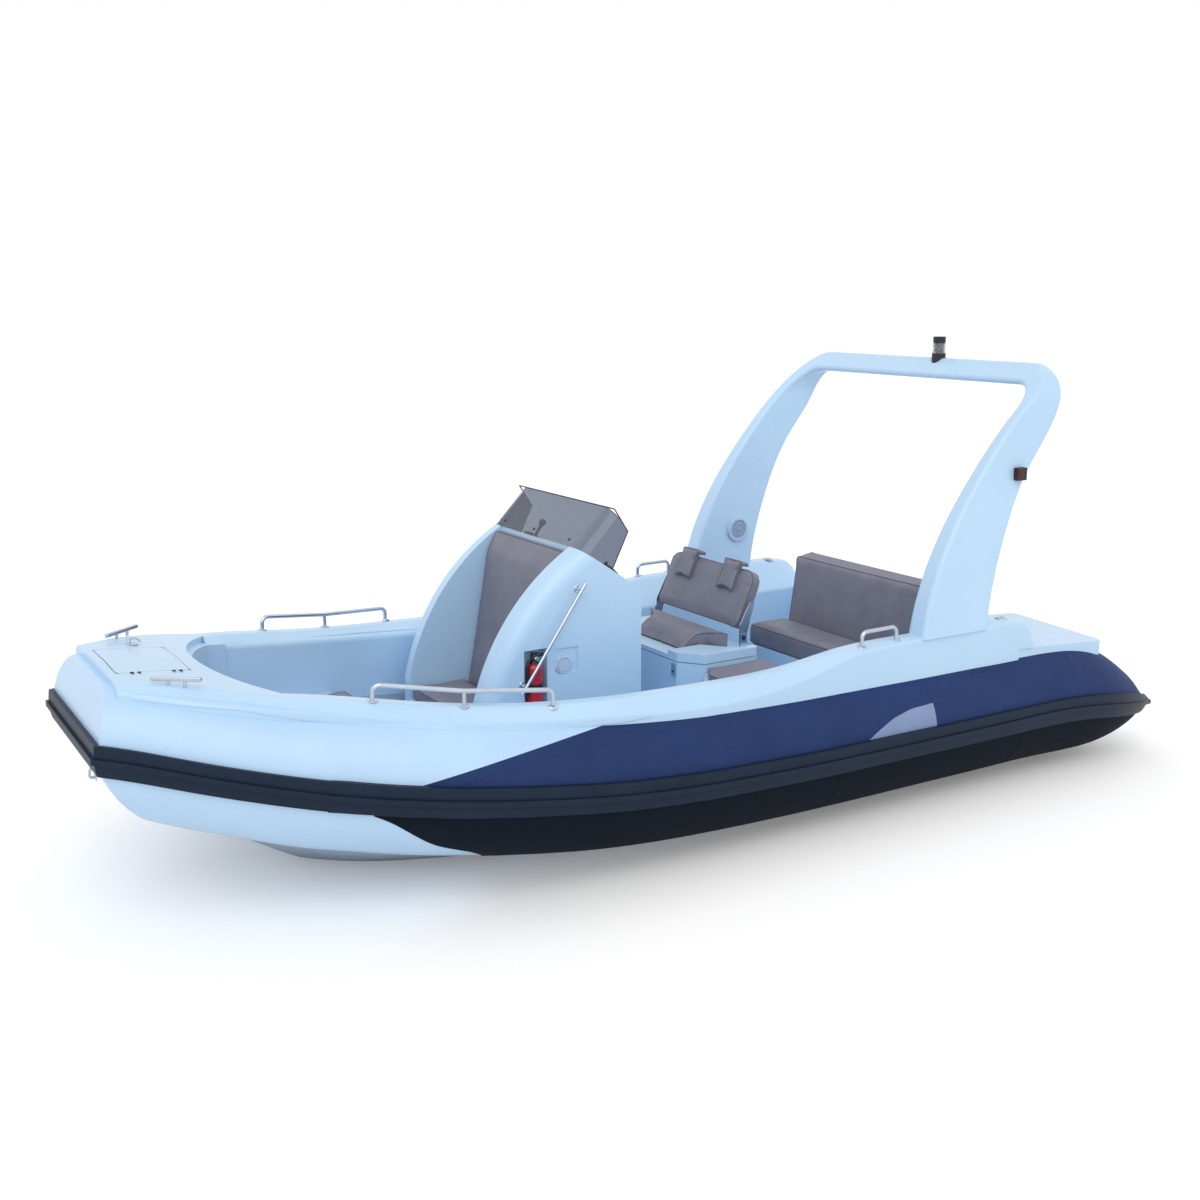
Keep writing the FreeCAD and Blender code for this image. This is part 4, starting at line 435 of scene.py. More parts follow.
def rod(work, points, radius, sides=8, closed=False):
    """Adds a round bar or cord along points, open with flat ends or closed to a ring."""
    points = [Vector(p) for p in points]
    count = len(points)
    across = (points[1] - points[0]).orthogonal().normalized()
    rings = []
    for i, point in enumerate(points):
        before = points[i - 1] if closed or i else point
        after = points[(i + 1) % count] if closed or i < count - 1 else point
        ahead = (after - before).normalized()
        across = (across - ahead * across.dot(ahead)).normalized()
        up = ahead.cross(across)
        ring = []
        for k in range(sides):
            turn = k * math.tau / sides
            ring.append(work.verts.new(point + (across * math.cos(turn) + up * math.sin(turn)) * radius))
        rings.append(ring)
    pairs = list(zip(rings, rings[1:]))
    if closed:
        shift = min(range(sides), key=lambda k: (rings[-1][0].co - rings[0][k].co).length)
        pairs.append((rings[-1], rings[0][shift:] + rings[0][:shift]))
    for low, high in pairs:
        for k in range(sides):
            work.faces.new((low[k], low[(k + 1) % sides], high[(k + 1) % sides], high[k]))
    if not closed:
        work.faces.new(rings[0][::-1])
        work.faces.new(rings[-1])


def rims_of(source, way, bend=0.75):
    """The outlines of those faces of a CAD solid that look one way."""
    work = bmesh.new()
    work.from_mesh(nodes[source].data)
    bmesh.ops.remove_doubles(work, verts=work.verts, dist=weld)
    bmesh.ops.recalc_face_normals(work, faces=work.faces)
    way = Vector(way).normalized()
    facing = {face for face in work.faces if face.normal.dot(way) > bend}
    nexts = {}
    for edge in work.edges:
        if sum(face in facing for face in edge.link_faces) == 1:
            low, high = edge.verts
            nexts.setdefault(low, []).append(high)
            nexts.setdefault(high, []).append(low)
    loops = []
    while nexts:
        start = min(nexts, key=lambda v: (round(v.co.x, 4), round(v.co.y, 4), round(v.co.z, 4)))
        loop, here = [], start
        while here in nexts:
            loop.append(here.co.copy())
            ways = nexts.pop(here)
            here = next((v for v in ways if v in nexts), None)
        loops.append(loop)
    work.free()
    return [loop for loop in loops if len(loop) > 3]


def evenly(loop, pitch):
    """A closed loop of points again at an even pitch."""
    closed = loop + loop[:1]
    lengths = [0.0]
    for low, high in zip(closed, closed[1:]):
        lengths.append(lengths[-1] + (high - low).length)
    count = max(fewest_points, int(lengths[-1] / pitch))
    spots = np.arange(count) * lengths[-1] / count
    columns = [np.interp(spots, lengths, [p[axis] for p in closed]) for axis in range(3)]
    return [Vector(p) for p in zip(*columns)]


def stuffed(name, source, body="boat", cuts=(), piping=(0, 0, 1), voxel=0.012):
    """A cushion blown up from a CAD solid: the solid parted at its seams, each part again
    in small squares and swollen as cloth, with a sewn cord round its face."""
    slack, most, pressure = 0.005, 0.012, 4.0
    mesh = bpy.data.meshes.new(name)
    work = bmesh.new()
    work.from_mesh(nodes[source].data)
    bmesh.ops.remove_doubles(work, verts=work.verts, dist=weld)
    for point, across in cuts:
        parts = bmesh.new()
        for sign in (1, -1):
            half = work.copy()
            plane = Vector(across).normalized() * sign
            bmesh.ops.bisect_plane(half, geom=half.verts[:] + half.edges[:] + half.faces[:],
                                   plane_co=Vector(point) + plane * seam_gap, plane_no=plane,
                                   clear_inner=True)
            bmesh.ops.holes_fill(half, edges=[e for e in half.edges if e.is_boundary])
            half_mesh = bpy.data.meshes.new("half")
            half.to_mesh(half_mesh)
            parts.from_mesh(half_mesh)
            bpy.data.meshes.remove(half_mesh)
            half.free()
        work.free()
        work = parts
    bmesh.ops.recalc_face_normals(work, faces=work.faces)
    work.to_mesh(mesh)
    work.free()
    piece = bpy.data.objects.new(name, mesh)
    scene.collection.objects.link(piece)
    squares = piece.modifiers.new("squares", "REMESH")
    squares.mode = "VOXEL"
    squares.voxel_size = voxel
    smooth = piece.modifiers.new("smooth", "SMOOTH")
    smooth.iterations = 2
    less = piece.modifiers.new("less", "DISPLACE")
    less.strength = -slack
    less.mid_level = 0
    baked(piece)
    start = points_of(piece.data)
    swell = piece.modifiers.new("swell", "CLOTH")
    swell.settings.quality = 4
    swell.settings.use_pressure = True
    swell.settings.uniform_pressure_force = pressure
    swell.settings.effector_weights.gravity = 0
    swell.point_cache.frame_start = 1
    swell.point_cache.frame_end = swell_steps
    for step in range(1, swell_steps + 1):
        scene.frame_set(step)
    shown = bpy.context.evaluated_depsgraph_get()
    end = points_of(piece.evaluated_get(shown).to_mesh())
    piece.evaluated_get(shown).to_mesh_clear()
    piece.modifiers.clear()
    scene.frame_set(1)
    moved = end - start
    length = np.linalg.norm(moved, axis=1, keepdims=True)
    start = start + moved * np.minimum(1, most / np.maximum(length, 1e-9))
    piece.data.vertices.foreach_set("co", start.astype(np.float32).ravel())
    finer = piece.modifiers.new("finer", "SUBSURF")
    finer.levels = finer.render_levels = 1
    baked(piece)
    piece.data.shade_smooth()
    piece.data.materials.clear()
    piece.data.materials.append(taupe_leather)
    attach(piece, body)
    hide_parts(source)
    cover = surface_of([piece])
    cords = bmesh.new()
    for loop in rims_of(source, piping):
        laid = []
        for point in evenly(loop, cord_pitch):
            hit, normal, index, distance = cover.find_nearest(point)
            laid.append(hit + normal * cord_lift)
        count = len(laid)
        laid = [(laid[i - 1] + laid[i] * 2 + laid[(i + 1) % count]) / 4 for i in range(count)]
        rod(cords, laid, cord_radius, cord_sides, True)
    as_piece(name + "_cord", cords, cord_leather, body)
    return piece


bench_back_crease = ((-1.56, 0, 1.075), (0.15, 0, 1))
helm_back_front = (0.92, 0, 0.39)
stuffed("bow_pad", "bow_cushion")
stuffed("front_seat_pad", "front_seat_cushion")
stuffed("front_back_pad", "front_back_cushion", piping=(1, 0, 0.3))
stuffed("side_seat_pad", "side_seat_cushion")
stuffed("bench_pad", "bench_seat_cushion")
stuffed("bench_back_pad", "bench_back_cushion", cuts=[bench_back_crease], piping=(1, 0, 0.2),
        voxel=0.009)
stuffed("helm_pad", "helm_seat_cushion", "helm_seat_lid", piping=(0.2, 0, 1))
stuffed("helm_back_pad", "helm_backrest", "seat_back", piping=helm_back_front)
stuffed("headrest_pads", "helm_headrests", "seat_back", piping=helm_back_front, voxel=0.007)


# Seams of the collar: tapes of the same fabric glued over the joints, one along each tube
# under its edge, one across it abaft the arch and one round the root of its cone. A pale
# stripe of the same cloth is glued on ahead of the tape abaft the arch.
clear = 4


def met(surface, start, way):
    """Where a straight line first meets a surface, and which way the surface looks there."""
    hit, normal, index, distance = surface.ray_cast(Vector(start), Vector(way))
    return hit, normal


def taped(name, line, height, over, material, count=70, edge=0.12):
    """Strips on both sides of the boat along (x, z, width) points of the side view, pressed
    on the nodes' outer faces."""
    sunk, shoulder = -0.4, 0.3
    outline = [(-1, sunk), (-1, shoulder), (edge - 1, 1), (-0.5, 1), (0, 1), (0.5, 1),
               (1 - edge, 1), (1, shoulder), (1, sunk)]
    surface = surface_of([nodes[node_name] for node_name in over])
    spots = np.linspace(0, len(line) - 1, count)
    columns = [np.interp(spots, range(len(line)), [row[k] for row in line]) for k in range(3)]
    rows = np.array(columns).T
    for k in range(3):
        rows[1:-1] = (rows[:-2] + rows[1:-1] * 2 + rows[2:]) / 4
    work = bmesh.new()
    for side in (1, -1):
        path = []
        for x, z, width in rows:
            hit, normal = met(surface, (x, clear * side, z), (0, -side, 0))
            if hit is not None:
                path.append((hit, normal, width))
        sections = []
        for i, (hit, normal, width) in enumerate(path):
            ahead = path[min(i + 1, len(path) - 1)][0] - path[max(i - 1, 0)][0]
            across = ahead.cross(normal).normalized()
            section = []
            for share, lift in outline:
                near, out, index, distance = surface.find_nearest(hit + across * width / 2 * share)
                section.append(work.verts.new(near + out * height * lift))
            sections.append(section)
        for low, high in zip(sections, sections[1:]):
            for k in range(len(low)):
                work.faces.new((low[k - 1], low[k], high[k], high[k - 1]))
        work.faces.new(sections[0][::-1])
        work.faces.new(sections[-1])
    return as_piece(name, work, material, crease=50)


seam_height = 0.0016
cross_height = 0.0018
stripe_height = 0.0012
cross_rows = 24
stripe_rows = 40
seam_route = [(1.62, 0.632, 0.02), (1.30, 0.690, 0.026), (1.03, 0.725, 0.026), (0.64, 0.739, 0.026),
              (-0.19, 0.745, 0.026), (-1.20, 0.728, 0.026), (-2.30, 0.712, 0.026)]
cross_route = [(-1.30, 0.505, 0.03), (-1.302, 0.60, 0.03), (-1.305, 0.67, 0.03), (-1.31, 0.722, 0.03)]
cone_route = [(-2.44, z, 0.05) for z in (0.47, 0.56, 0.64, 0.70)]
stripe_route = [(-0.79, 0.500, 0.004), (-0.88, 0.523, 0.045), (-1.00, 0.548, 0.088),
                (-1.13, 0.560, 0.118), (-1.285, 0.556, 0.140)]
taped("tube_seam_tape", seam_route, seam_height, ["side_tubes"], navy_fabric)
taped("tube_cross_tape", cross_route, cross_height, ["side_tubes"], navy_fabric, cross_rows)
taped("tube_cone_tape", cone_route, cross_height, ["side_tubes"], navy_fabric, cross_rows)
stripe_fabric = finish("stripe_fabric", cloth, {
    "Base": tone(120, 140, 178), "Worn": tone(134, 154, 190), "Roughness": 0.5},
    depth=0.0012, Specular_IOR_Level=0.35)
taped("tube_stripe", stripe_route, stripe_height, ["side_tubes"], stripe_fabric, stripe_rows)

# Seams of the wear panels: two tapes of the panels' own black fabric glued across them,
# one amidships and one under the bench.
panel_rows = 16
panel_tape_width = 0.04
panel_cross_route = [(-0.62, z, panel_tape_width) for z in (0.345, 0.25, 0.16)]
panel_aft_route = [(-1.98, z, panel_tape_width) for z in (0.33, 0.24, 0.15)]
taped("panel_cross_tapes", panel_cross_route, seam_height, ["wear_panels"], panel_fabric, panel_rows)
taped("panel_aft_tapes", panel_aft_route, seam_height, ["wear_panels"], panel_fabric, panel_rows)

# Band of the strake: one black rubber section of even thickness glued along each side, that
# runs on from the band round the bow, with its ridge standing out of it. Toward the stern
# the band narrows to the cone's tip.
band_width = 0.142
band_height = 0.0255
band_rows = 220
band_edge = 0.07
ridge_width = 0.029
ridge_height = 0.0388
ridge_rows = 60
ridge_edge = 0.2
even_band = [(2.012, 0.658), (1.770, 0.615), (1.488, 0.5748), (1.201, 0.541), (0.920, 0.511),
             (0.649, 0.485), (0.420, 0.4715), (0.200, 0.4597), (-0.15, 0.449), (-0.50, 0.4402),
             (-0.95, 0.436), (-1.401, 0.4318), (-1.85, 0.4295), (-2.30, 0.4267), (-2.551, 0.4107)]
narrowing_band = [(-2.80, 0.3752, 0.14), (-3.00, 0.3388, 0.13), (-3.149, 0.3084, 0.10),
                  (-3.22, 0.2925, 0.06)]
ridge_points = [(2.014, 0.6585), (1.770, 0.615), (1.488, 0.5748), (1.201, 0.541)]
band_route = [(x, z, band_width) for x, z in even_band] + narrowing_band
ridge_route = [(x, z, ridge_width) for x, z in ridge_points]
collar = ["side_tubes", "collar_bow"]
taped("strake_band", band_route, band_height, collar, strake_rubber, band_rows, band_edge)
taped("strake_ridge", ridge_route, ridge_height, collar, strake_rubber, ridge_rows, ridge_edge)

# Flange of the deck moulding: the soft step where the white glass fibre mouldings lap over
# the collar. It is bonded down and fades out beside the console.
step_height = 0.0045
step_rows = 90
step_edge = 0.3
step_route = [(2.70, 1.095, 0.03), (2.49, 1.066, 0.05), (2.32, 1.042, 0.052), (2.06, 0.984, 0.054),
              (1.73, 0.918, 0.054), (1.32, 0.856, 0.052), (0.97, 0.824, 0.050), (0.60, 0.808, 0.040),
              (0.45, 0.803, 0.010)]
step_over = ["collar_bow", "side_tubes", "side_decks", "foredeck"]
taped("moulding_step", step_route, step_height, step_over, bow_gelcoat, step_rows, step_edge)


# Windscreen's finish: a black edge strip pressed over the free edges of the acrylic, and
# button screws of black plastic that hold the sheet to the console.
def turned(work, profile, centre, way, steps=24):
    """Adds a turned form: (radius, height) points spun round an axis."""
    way = Vector(way).normalized()
    side = way.orthogonal().normalized()
    verts = [work.verts.new(Vector(centre) + side * radius + way * height) for radius, height in profile]
    edges = [work.edges.new(pair) for pair in zip(verts, verts[1:])]
    bmesh.ops.spin(work, geom=verts + edges, cent=Vector(centre), axis=way, angle=math.tau, steps=steps,
                   use_merge=True)


strip_radius = 0.0035
strip_rod_sides = 8
corner_radius = 0.100
corner_steps = 8
pane_port, pane_starboard = 0.340, -0.694
pane_top = (0.19, 1.678)
pane_shoulder = (0.176, 1.657)
pane_knee = (0.106, 1.553)
pane_foot = (0.204, 1.357)
trim_path = [Vector((x, pane_port, z)) for x, z in (pane_foot, pane_knee, pane_shoulder)]
for first, corner in ((0, pane_port - corner_radius), (1, pane_starboard + corner_radius)):
    for k in range(corner_steps + 1):
        turn = (first + k / corner_steps) * math.pi / 2
        trim_path.append(Vector((pane_top[0], corner + corner_radius * math.cos(turn), pane_top[1])))
trim_path += [Vector((x, pane_starboard, z)) for x, z in (pane_shoulder, pane_knee, pane_foot)]
screen_trim = bmesh.new()
rod(screen_trim, trim_path, strip_radius, strip_rod_sides)
as_piece("windscreen_edge_strip", screen_trim, black_plastic, crease=60)

button = [(0, 0.0035), (0.004, 0.0032), (0.0075, 0.0018), (0.0085, 0), (0.0085, -0.003), (0, -0.003)]
button_lift = 0.001
button_steps = 16
front_button_z = 1.506
side_button_place = (0.241, 1.399)
wing_faces = ((0.343, 1), (-0.697, -1))
dark_screws = bmesh.new()
screen_face = surface_of([nodes["windscreen"]])
for y in (-0.558, -0.221, 0.159):
    hit, normal = met(screen_face, (clear, y, front_button_z), (-1, 0, 0))
    turned(dark_screws, button, hit + normal * button_lift, normal, button_steps)
for y, out in wing_faces:
    x, z = side_button_place
    turned(dark_screws, button, (x, y + out * button_lift, z), (0, out, 0), button_steps)
as_piece("windscreen_screws", dark_screws, black_plastic)

# Rails' flanges: round plates of polished steel welded under every foot, and at each foot
# on deck three countersunk screws that hold the plate down.
plate = [(0, 0.005), (0.0155, 0.005), (0.0235, 0.0038), (0.026, 0.0015), (0.026, -0.003), (0, -0.003)]
plate_steps = 28
wall_plate_share = 0.8
wall_plate = [(radius * wall_plate_share, height) for radius, height in plate]
head = [(0, 0.0016), (0.0025, 0.0015), (0.0042, 0.0004), (0.0042, -0.001), (0, -0.001)]
head_steps = 12
screws_each = 3
screw_ring = 0.0195
screw_lift = 0.0046
rail_feet = ((1.735, 0.765), (1.34, 0.884), (0.934, 0.985), (-0.886, 1.075), (-1.13, 1.075))
wall_feet = ((0.745, 0.810), (0.415, 1.280))
above = 1.5
down = (0, 0, -1)
flanges = bmesh.new()
screws = bmesh.new()
decks = surface_of([nodes["side_decks"]])
for x, y in rail_feet:
    for side in (1, -1):
        hit, normal = met(decks, (x, y * side, above), down)
        turned(flanges, plate, hit, normal, plate_steps)
        for k in range(screws_each):
            turn = Matrix.Rotation(k * math.tau / screws_each, 3, normal)
            spot = hit + turn @ normal.orthogonal().normalized() * screw_ring
            turned(screws, head, spot + normal * screw_lift, normal, head_steps)
for x, z in wall_feet:
    for y, out in wing_faces:
        turned(flanges, wall_plate, (x, y, z), (0, out, 0), plate_steps)
as_piece("rail_flanges", flanges, polished_steel)
as_piece("rail_flange_screws", screws, polished_steel)


# Foredeck fittings: a hooked catch of polished steel screwed down beside the locker lid,
# and the screws of the lid's hinges.
def slab(work, centre, size, way=(1, 0, 0), up=(0, 0, 1), rounding=0.003):
    """Adds a block with softened edges, lying along one way with its top facing another."""
    way, up = Vector(way).normalized(), Vector(up).normalized()
    made = bmesh.ops.create_cube(work, size=1)["verts"]
    turn = Matrix((way, up.cross(way), up)).transposed()
    for vert in made:
        vert.co = turn @ Vector(v * length for v, length in zip(vert.co, size)) + Vector(centre)
    edges = list({edge for vert in made for edge in vert.link_edges})
    bmesh.ops.bevel(work, geom=edges, offset=rounding, segments=3, profile=0.5, affect="EDGES", material=-1)


catch_foot = (2.52, -0.30)
catch_plate = (0.060, 0.032, 0.006)
catch_plate_lift = 0.003
catch_rounding = 0.0025
catch_post = [(0, 0.030), (0.006, 0.029), (0.009, 0.024), (0.009, 0), (0, 0)]
catch_post_place = Vector((0.014, 0, 0.004))
catch_hook = [(0.014, 0, 0.026), (0.004, 0.012, 0.036), (-0.012, 0.022, 0.038), (-0.028, 0.026, 0.030),
              (-0.034, 0.026, 0.018)]
catch_hook_radius = 0.0055
catch_hook_sides = 10
catch = bmesh.new()
foredeck_top = surface_of([nodes["foredeck"]])
hit, normal = met(foredeck_top, (*catch_foot, above), down)
slab(catch, hit + normal * catch_plate_lift, catch_plate, (1, 0, 0), normal, catch_rounding)
turned(catch, catch_post, hit + catch_post_place, normal)
rod(catch, [hit + Vector(p) for p in catch_hook], catch_hook_radius, catch_hook_sides)
as_piece("deck_catch", catch, polished_steel)

hinge_places = (2.451, 2.632)
hinge_screw_y = 0.270
hinge_screw_reach = 0.0155
hinge_leaf = 0.0035
hinge_screws = bmesh.new()
for x in hinge_places:
    for side in (-1, 1):
        hit, normal = met(foredeck_top, (x + side * hinge_screw_reach, hinge_screw_y, above), down)
        turned(hinge_screws, head, hit + normal * hinge_leaf, normal, head_steps)
as_piece("lid_hinge_screws", hinge_screws, black_plastic)

# Locker seal: a white rubber cord glued round the lid's rim, nearly as high as the deck, so
# that the lid closes dry.
seal_reach, seal_half = 0.1325, 0.2075
seal_middle = 2.55
seal_corner = 0.0300
seal_corner_steps = 6
seal_pitch = 0.012
seal_sink = 0.0036
seal_radius = 0.0021
seal_sides = 8
seal_above = 1.13
seal_path = []
for start, (ahead, port) in enumerate(((1, 1), (-1, 1), (-1, -1), (1, -1))):
    x, y = seal_middle + ahead * seal_reach, port * seal_half
    for k in range(seal_corner_steps + 1):
        turn = (start + k / seal_corner_steps) * math.pi / 2
        seal_path.append(Vector((x + seal_corner * math.cos(turn), y + seal_corner * math.sin(turn),
                                 seal_above)))
laid_seal = []
lid_top = surface_of([nodes["locker_lid"], nodes["foredeck"]])
for point in evenly(seal_path, seal_pitch):
    near, normal, index, distance = lid_top.find_nearest(point)
    laid_seal.append(Vector((point.x, point.y, near.z - seal_sink)))
seal = bmesh.new()
rod(seal, laid_seal, seal_radius, seal_sides, True)
as_piece("locker_seal", seal, white_plastic)

# Filler caps: two screwed caps of polished steel with a keyhole bar, let into the after ends
# of the coamings.
cap_places = ((-1.965, 1.045), (-1.93, -1.02))
cap_profile = [(0, 0.006), (0.020, 0.006), (0.024, 0.010), (0.030, 0.010), (0.035, 0.006), (0.036, 0),
               (0.036, -0.004), (0, -0.004)]
cap_steps = 36
key_bar = (0.034, 0.007, 0.005)
key_bar_lift = 0.0085
key_bar_rounding = 0.002
caps = bmesh.new()
for x, y in cap_places:
    hit, normal = met(decks, (x, y, above), down)
    turned(caps, cap_profile, hit, normal, cap_steps)
    slab(caps, hit + normal * key_bar_lift, key_bar, (1, 0, 0), normal, key_bar_rounding)
as_piece("filler_caps", caps, polished_steel)

# Towing eye: a bent bar of polished steel welded to a plate, bolted through the face of the
# bow on the centreline.
eye_z = 0.64
eye_plate = (0.005, 0.046, 0.100)
eye_plate_lift = 0.002
eye_plate_rounding = 0.0022
eye_foot = 0.004
eye_bow = 0.030
eye_bar = 0.0065
eye_bar_sides = 12
eye_steps = 12
eye_bolt = bmesh.new()
bow_face = surface_of([nodes["collar_bow"]])
hit, normal = met(bow_face, (clear, 0, eye_z), (-1, 0, 0))
slab(eye_bolt, hit + normal * eye_plate_lift, eye_plate, normal, (0, 0, 1), eye_plate_rounding)
eye_arc = []
for k in range(eye_steps + 1):
    turn = k / eye_steps * math.pi
    out = eye_foot + eye_bow * math.sin(turn)
    eye_arc.append(hit + normal * out + Vector((0, 0, eye_bow * math.cos(turn))))
rod(eye_bolt, eye_arc, eye_bar, eye_bar_sides)
as_piece("towing_eye", eye_bolt, polished_steel)

# Drain sockets: two turned steel rings pressed into the transom's outer face, one on each
# side of the motor well.
drain_profile = [(0.012, 0.001), (0.013, 0.006), (0.022, 0.006), (0.028, 0.002), (0.028, -0.002),
                 (0.012, -0.002), (0.012, 0.001)]
drain_y, drain_z = 0.33, 0.30
drain_steps = 28
drains = bmesh.new()
transom_face = surface_of([nodes["transom"]])
for side in (-1, 1):
    hit, normal = met(transom_face, (-clear, side * drain_y, drain_z), (1, 0, 0))
    turned(drains, drain_profile, hit, normal, drain_steps)
as_piece("drain_sockets", drains, polished_steel)

# Dash: three dials under domed glass in bright rings, and under them a row of rocker
# switches, all clipped into the black panel.
dash_up = Vector((-0.5576, 0, 0.8301))
dash_way = Vector((0.8301, 0, 0.5576))
panel_thickness = 0.0123
panel_middle = Vector((0.2313, -0.117, 1.3748)) + dash_up * panel_thickness
dial_pitch = 0.135
dial_rise = 0.03
dial_steps = 36
ring_profile = [(0.036, 0.001), (0.037, 0.008), (0.042, 0.008), (0.045, 0.004), (0.045, -0.001),
                (0.036, -0.001), (0.036, 0.001)]
dial_profile = [(0, 0.004), (0.020, 0.0035), (0.036, 0.002), (0.036, -0.001), (0, -0.001)]
switch_count = 6
switch_pitch = 0.06
switch_drop = 0.055
switch_lift = 0.004
switch_size = (0.036, 0.022, 0.012)
rings, dials, switches = bmesh.new(), bmesh.new(), bmesh.new()
for side in (-dial_pitch, 0.0, dial_pitch):
    middle = panel_middle + Vector((0, side, 0)) + dash_way * dial_rise
    turned(rings, ring_profile, middle, dash_up, dial_steps)
    turned(dials, dial_profile, middle, dash_up, dial_steps)
for k in range(switch_count):
    row_y = (k - (switch_count - 1) / 2) * switch_pitch
    slab(switches, panel_middle + Vector((0, row_y, 0)) - dash_way * switch_drop + dash_up * switch_lift,
         switch_size, dash_way, dash_up)
as_piece("dial_rings", rings, polished_steel)
dial_glass = finish("dial_glass", skin, {
    "Base": tone(20, 26, 36), "Worn": tone(30, 38, 50), "Patch Scale": 30.0, "Grain Scale": 600.0,
    "Roughness": 0.08}, depth=0.00005, Coat_Weight=1.0, Coat_Roughness=0.03)
as_piece("dials", dials, dial_glass)
switch_plastic = finish("switch_plastic", skin, {
    "Base": tone(58, 62, 70), "Worn": tone(70, 74, 82), "Patch Scale": 30.0, "Grain Scale": 600.0,
    "Roughness": 0.35}, depth=0.0001)
as_piece("rocker_switches", switches, switch_plastic)

# Wheel's cap: a domed plastic cap pressed over the nut of the hub, that turns with the
# wheel.
wheel_way = Vector((-0.93969, 0, 0.34202))
hub_middle = Vector((-0.121254, -0.167, 1.110))
hub_face = 0.008
hub_cap = [(0, 0.020), (0.018, 0.0185), (0.033, 0.013), (0.042, 0.004), (0.043, -0.004), (0, -0.004)]
hub_steps = 36
cap_work = bmesh.new()
turned(cap_work, hub_cap, hub_middle + wheel_way * hub_face, wheel_way, hub_steps)
as_piece("wheel_cap", cap_work, switch_plastic, "wheel")

# Throttle: the lever's turned plastic knob, and the gate plate under it that the lever
# slides in.
lever_foot = Vector((0.2313, -0.477, 1.3748))
knob_profile = [(0, 0.036), (0.011, 0.033), (0.018, 0.024), (0.0195, 0.012), (0.016, 0.002),
                (0.010, -0.006), (0, -0.006)]
knob_height = 0.118
knob_steps = 28
gate_size = (0.090, 0.020, 0.006)
gate_height = 0.0475
gate_rounding = 0.0025
knob = bmesh.new()
turned(knob, knob_profile, lever_foot + dash_up * knob_height, dash_up, knob_steps)
slab(knob, lever_foot + dash_up * gate_height, gate_size, dash_way, dash_up, gate_rounding)
as_piece("throttle_knob", knob, switch_plastic)

# Extinguisher's head: the black valve screwed on the bottle with its two levers and its
# gauge, and the short hose that a strap holds to the bottle's side.
bottle_top = Vector((0.6675, 0.3243, 0.9150))
valve_profile = [(0, 0.052), (0.014, 0.050), (0.0185, 0.042), (0.0185, 0.012), (0.024, 0.006),
                 (0.026, -0.004), (0, -0.004)]
valve_steps = 28
upper_lever = (0.075, 0.016, 0.006)
upper_lever_place = Vector((-0.020, 0, 0.050))
upper_lever_slant = 0.18
lower_lever = (0.070, 0.014, 0.005)
lower_lever_place = Vector((-0.018, 0, 0.034))
lower_lever_slant = -0.06
lever_rounding = 0.002
strap_profile = [(0.0435, -0.011), (0.0452, -0.010), (0.0452, 0.010), (0.0435, 0.011), (0.0435, -0.011)]
strap_place = Vector((0, 0, -0.115))
strap_steps = 40
hose_route = [(0.016, 0.008, 0.026), (0.032, 0.012, 0.024), (0.044, 0.016, 0.006),
              (0.047, 0.019, -0.035), (0.046, 0.021, -0.100), (0.046, 0.021, -0.160)]
hose_radius = 0.0070
hose_sides = 12
gauge_profile = [(0, 0.006), (0.009, 0.0055), (0.0115, 0.003), (0.0115, -0.003), (0, -0.003)]
gauge_place = Vector((-0.004, 0.019, 0.026))
gauge_steps = 24
head_work, hose_work, gauge_work = bmesh.new(), bmesh.new(), bmesh.new()
turned(head_work, valve_profile, bottle_top, (0, 0, 1), valve_steps)
for lever, place_on, slant in ((upper_lever, upper_lever_place, upper_lever_slant),
                               (lower_lever, lower_lever_place, lower_lever_slant)):
    slab(head_work, bottle_top + place_on, lever, (1, 0, slant), (-slant, 0, 1), lever_rounding)
turned(hose_work, strap_profile, bottle_top + strap_place, (0, 0, 1), strap_steps)
rod(hose_work, [bottle_top + Vector(p) for p in hose_route], hose_radius, hose_sides)
turned(gauge_work, gauge_profile, bottle_top + gauge_place, (0, 1, 0), gauge_steps)
as_piece("extinguisher_valve", head_work, black_plastic)
as_piece("extinguisher_hose_and_strap", hose_work, black_plastic)
as_piece("extinguisher_gauge", gauge_work, polished_steel)

# Power socket: a white plastic bezel round the sprung lid, screwed into the flat recess of
# the console's port side.
socket_middle = (0.502, 0.3353, 0.8854)
bezel_profile = [(0.0365, 0.0015), (0.0375, 0.011), (0.043, 0.012), (0.049, 0.008), (0.050, 0.0),
                 (0.0365, 0.0), (0.0365, 0.0015)]
bezel_steps = 40
bezel = bmesh.new()
turned(bezel, bezel_profile, socket_middle, (0, 1, 0), bezel_steps)
as_piece("socket_bezel", bezel, white_plastic)

# Speakers: a round white rim and a pierced grille of grey plastic, one in the inner face of
# each leg of the arch.
speaker_x, speaker_y, speaker_z = -1.638, 0.9837, 1.213
speaker_steps = 48
rim_profile = [(0.060, 0.0), (0.062, 0.007), (0.068, 0.009), (0.080, 0.006), (0.0835, -0.002),
               (0.060, -0.002), (0.060, 0.0)]
grille_profile = [(0, 0.009), (0.008, 0.008), (0.012, 0.004), (0.020, 0.0055), (0.026, 0.003),
                  (0.034, 0.0052), (0.040, 0.003), (0.048, 0.005), (0.054, 0.003), (0.060, 0.004),
                  (0.060, -0.002), (0, -0.002)]
rims, grilles = bmesh.new(), bmesh.new()
for side in (1, -1):
    middle = Vector((speaker_x, side * speaker_y, speaker_z))
    turned(rims, rim_profile, middle, (0, -side, 0), speaker_steps)
    turned(grilles, grille_profile, middle, (0, -side, 0), speaker_steps)
as_piece("speaker_rims", rims, white_plastic)
grille_plastic = finish("grille_plastic", skin, {
    "Base": tone(150, 172, 198), "Worn": tone(128, 150, 178), "Patch Scale": 60.0, "Grain Scale": 700.0,
    "Roughness": 0.5}, depth=0.0003)
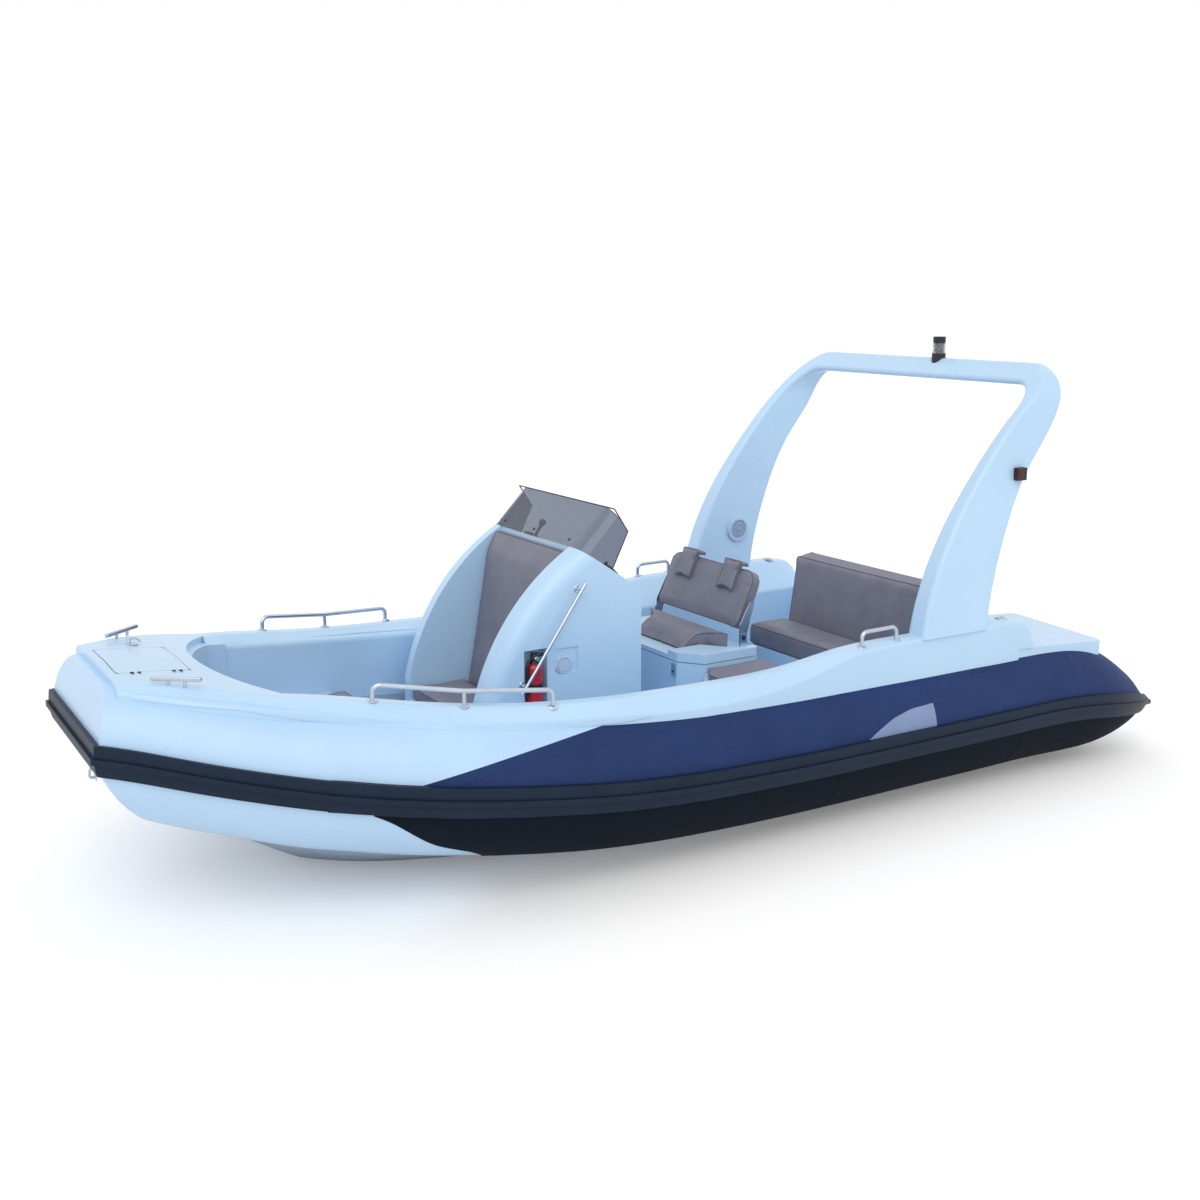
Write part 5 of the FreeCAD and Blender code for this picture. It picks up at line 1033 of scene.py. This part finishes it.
as_piece("speaker_grilles", grilles, grille_plastic)


# Lamps: the clear ribbed lens of the all-round light, and the coloured windows of the side
# lights, red to port and green to starboard, all moulded in clear plastic.
def clear_plastic(name, colour):
    """Coloured clear plastic with slightly worn skin."""
    made = bpy.data.materials.new(name)
    made.use_nodes = True
    tree = made.node_tree
    shader = tree.nodes["Principled BSDF"]
    surface = node(tree, "ShaderNodeGroup", node_tree=skin)
    for label, value in {"Base": colour, "Worn": colour, "Patch Scale": 30.0, "Roughness": 0.06,
                         "Roughness Spread": 0.1}.items():
        surface.inputs[label].default_value = value
    tree.links.new(surface.outputs["Color"], shader.inputs["Base Color"])
    tree.links.new(surface.outputs["Roughness"], shader.inputs["Roughness"])
    shader.inputs["Transmission Weight"].default_value = 0.85
    shader.inputs["IOR"].default_value = 1.46
    return made


lens_foot = (-2.295, 0.130, 2.4105)
lens_bore, lens_groove, lens_rib = 0.0325, 0.0365, 0.0395
lens_height = 0.0605
lens_first_rib = 0.002
lens_rib_pitch = 0.0065
lens_groove_place = 0.0052
lens_ribs = 9
lens_steps = 40
lens_profile = [(lens_bore, 0.0)]
for k in range(lens_ribs):
    lens_profile += [(lens_rib, lens_first_rib + k * lens_rib_pitch),
                     (lens_groove, lens_groove_place + k * lens_rib_pitch)]
lens_profile += [(lens_rib, lens_height), (lens_bore, lens_height), (lens_bore, 0.0)]
lens = bmesh.new()
turned(lens, lens_profile, lens_foot, (0, 0, 1), lens_steps)
as_piece("all_round_lens", lens, clear_plastic("clear_lens", tone(236, 242, 250)))

lamp_z = 1.797
side_window_place, side_window = (-1.958, 1.1245), (0.046, 0.004, 0.040)
front_window_place, front_window = (-1.9405, 1.108), (0.004, 0.032, 0.040)
window_rounding = 0.0015
for side, name, colour in ((1, "port_lamp_window", tone(150, 40, 34)),
                           (-1, "starboard_lamp_window", tone(40, 130, 84))):
    window = bmesh.new()
    for (x, y), size in ((side_window_place, side_window), (front_window_place, front_window)):
        slab(window, (x, side * y, lamp_z), size, (1, 0, 0), (0, 0, 1), window_rounding)
    as_piece(name, window, clear_plastic(name, colour))

# Helm seat's hardware: the domed heads of the backrest's pivot bolts, and the keyed catch
# plate screwed on the front of the box.
pivot_x, pivot_z = -0.730, 0.850
helm_middle = -0.167
bolt_reach = 0.4356
bolt_profile = [(0, 0.006), (0.007, 0.0055), (0.0125, 0.003), (0.0135, 0), (0.0135, -0.002), (0, -0.002)]
bolt_steps = 24
pivots = bmesh.new()
for side in (1, -1):
    turned(pivots, bolt_profile, (pivot_x, helm_middle + side * bolt_reach, pivot_z), (0, side, 0),
           bolt_steps)
as_piece("backrest_bolt_heads", pivots, black_plastic, "helm_seat_lid")
lock_place = (-0.306, 0.1725, 0.690)
lock_profile = [(0, 0.004), (0.007, 0.0035), (0.009, 0), (0, 0)]
lock_steps = 20
lock = bmesh.new()
turned(lock, lock_profile, lock_place, (1, 0, 0), lock_steps)
as_piece("latch_lock", lock, black_plastic)
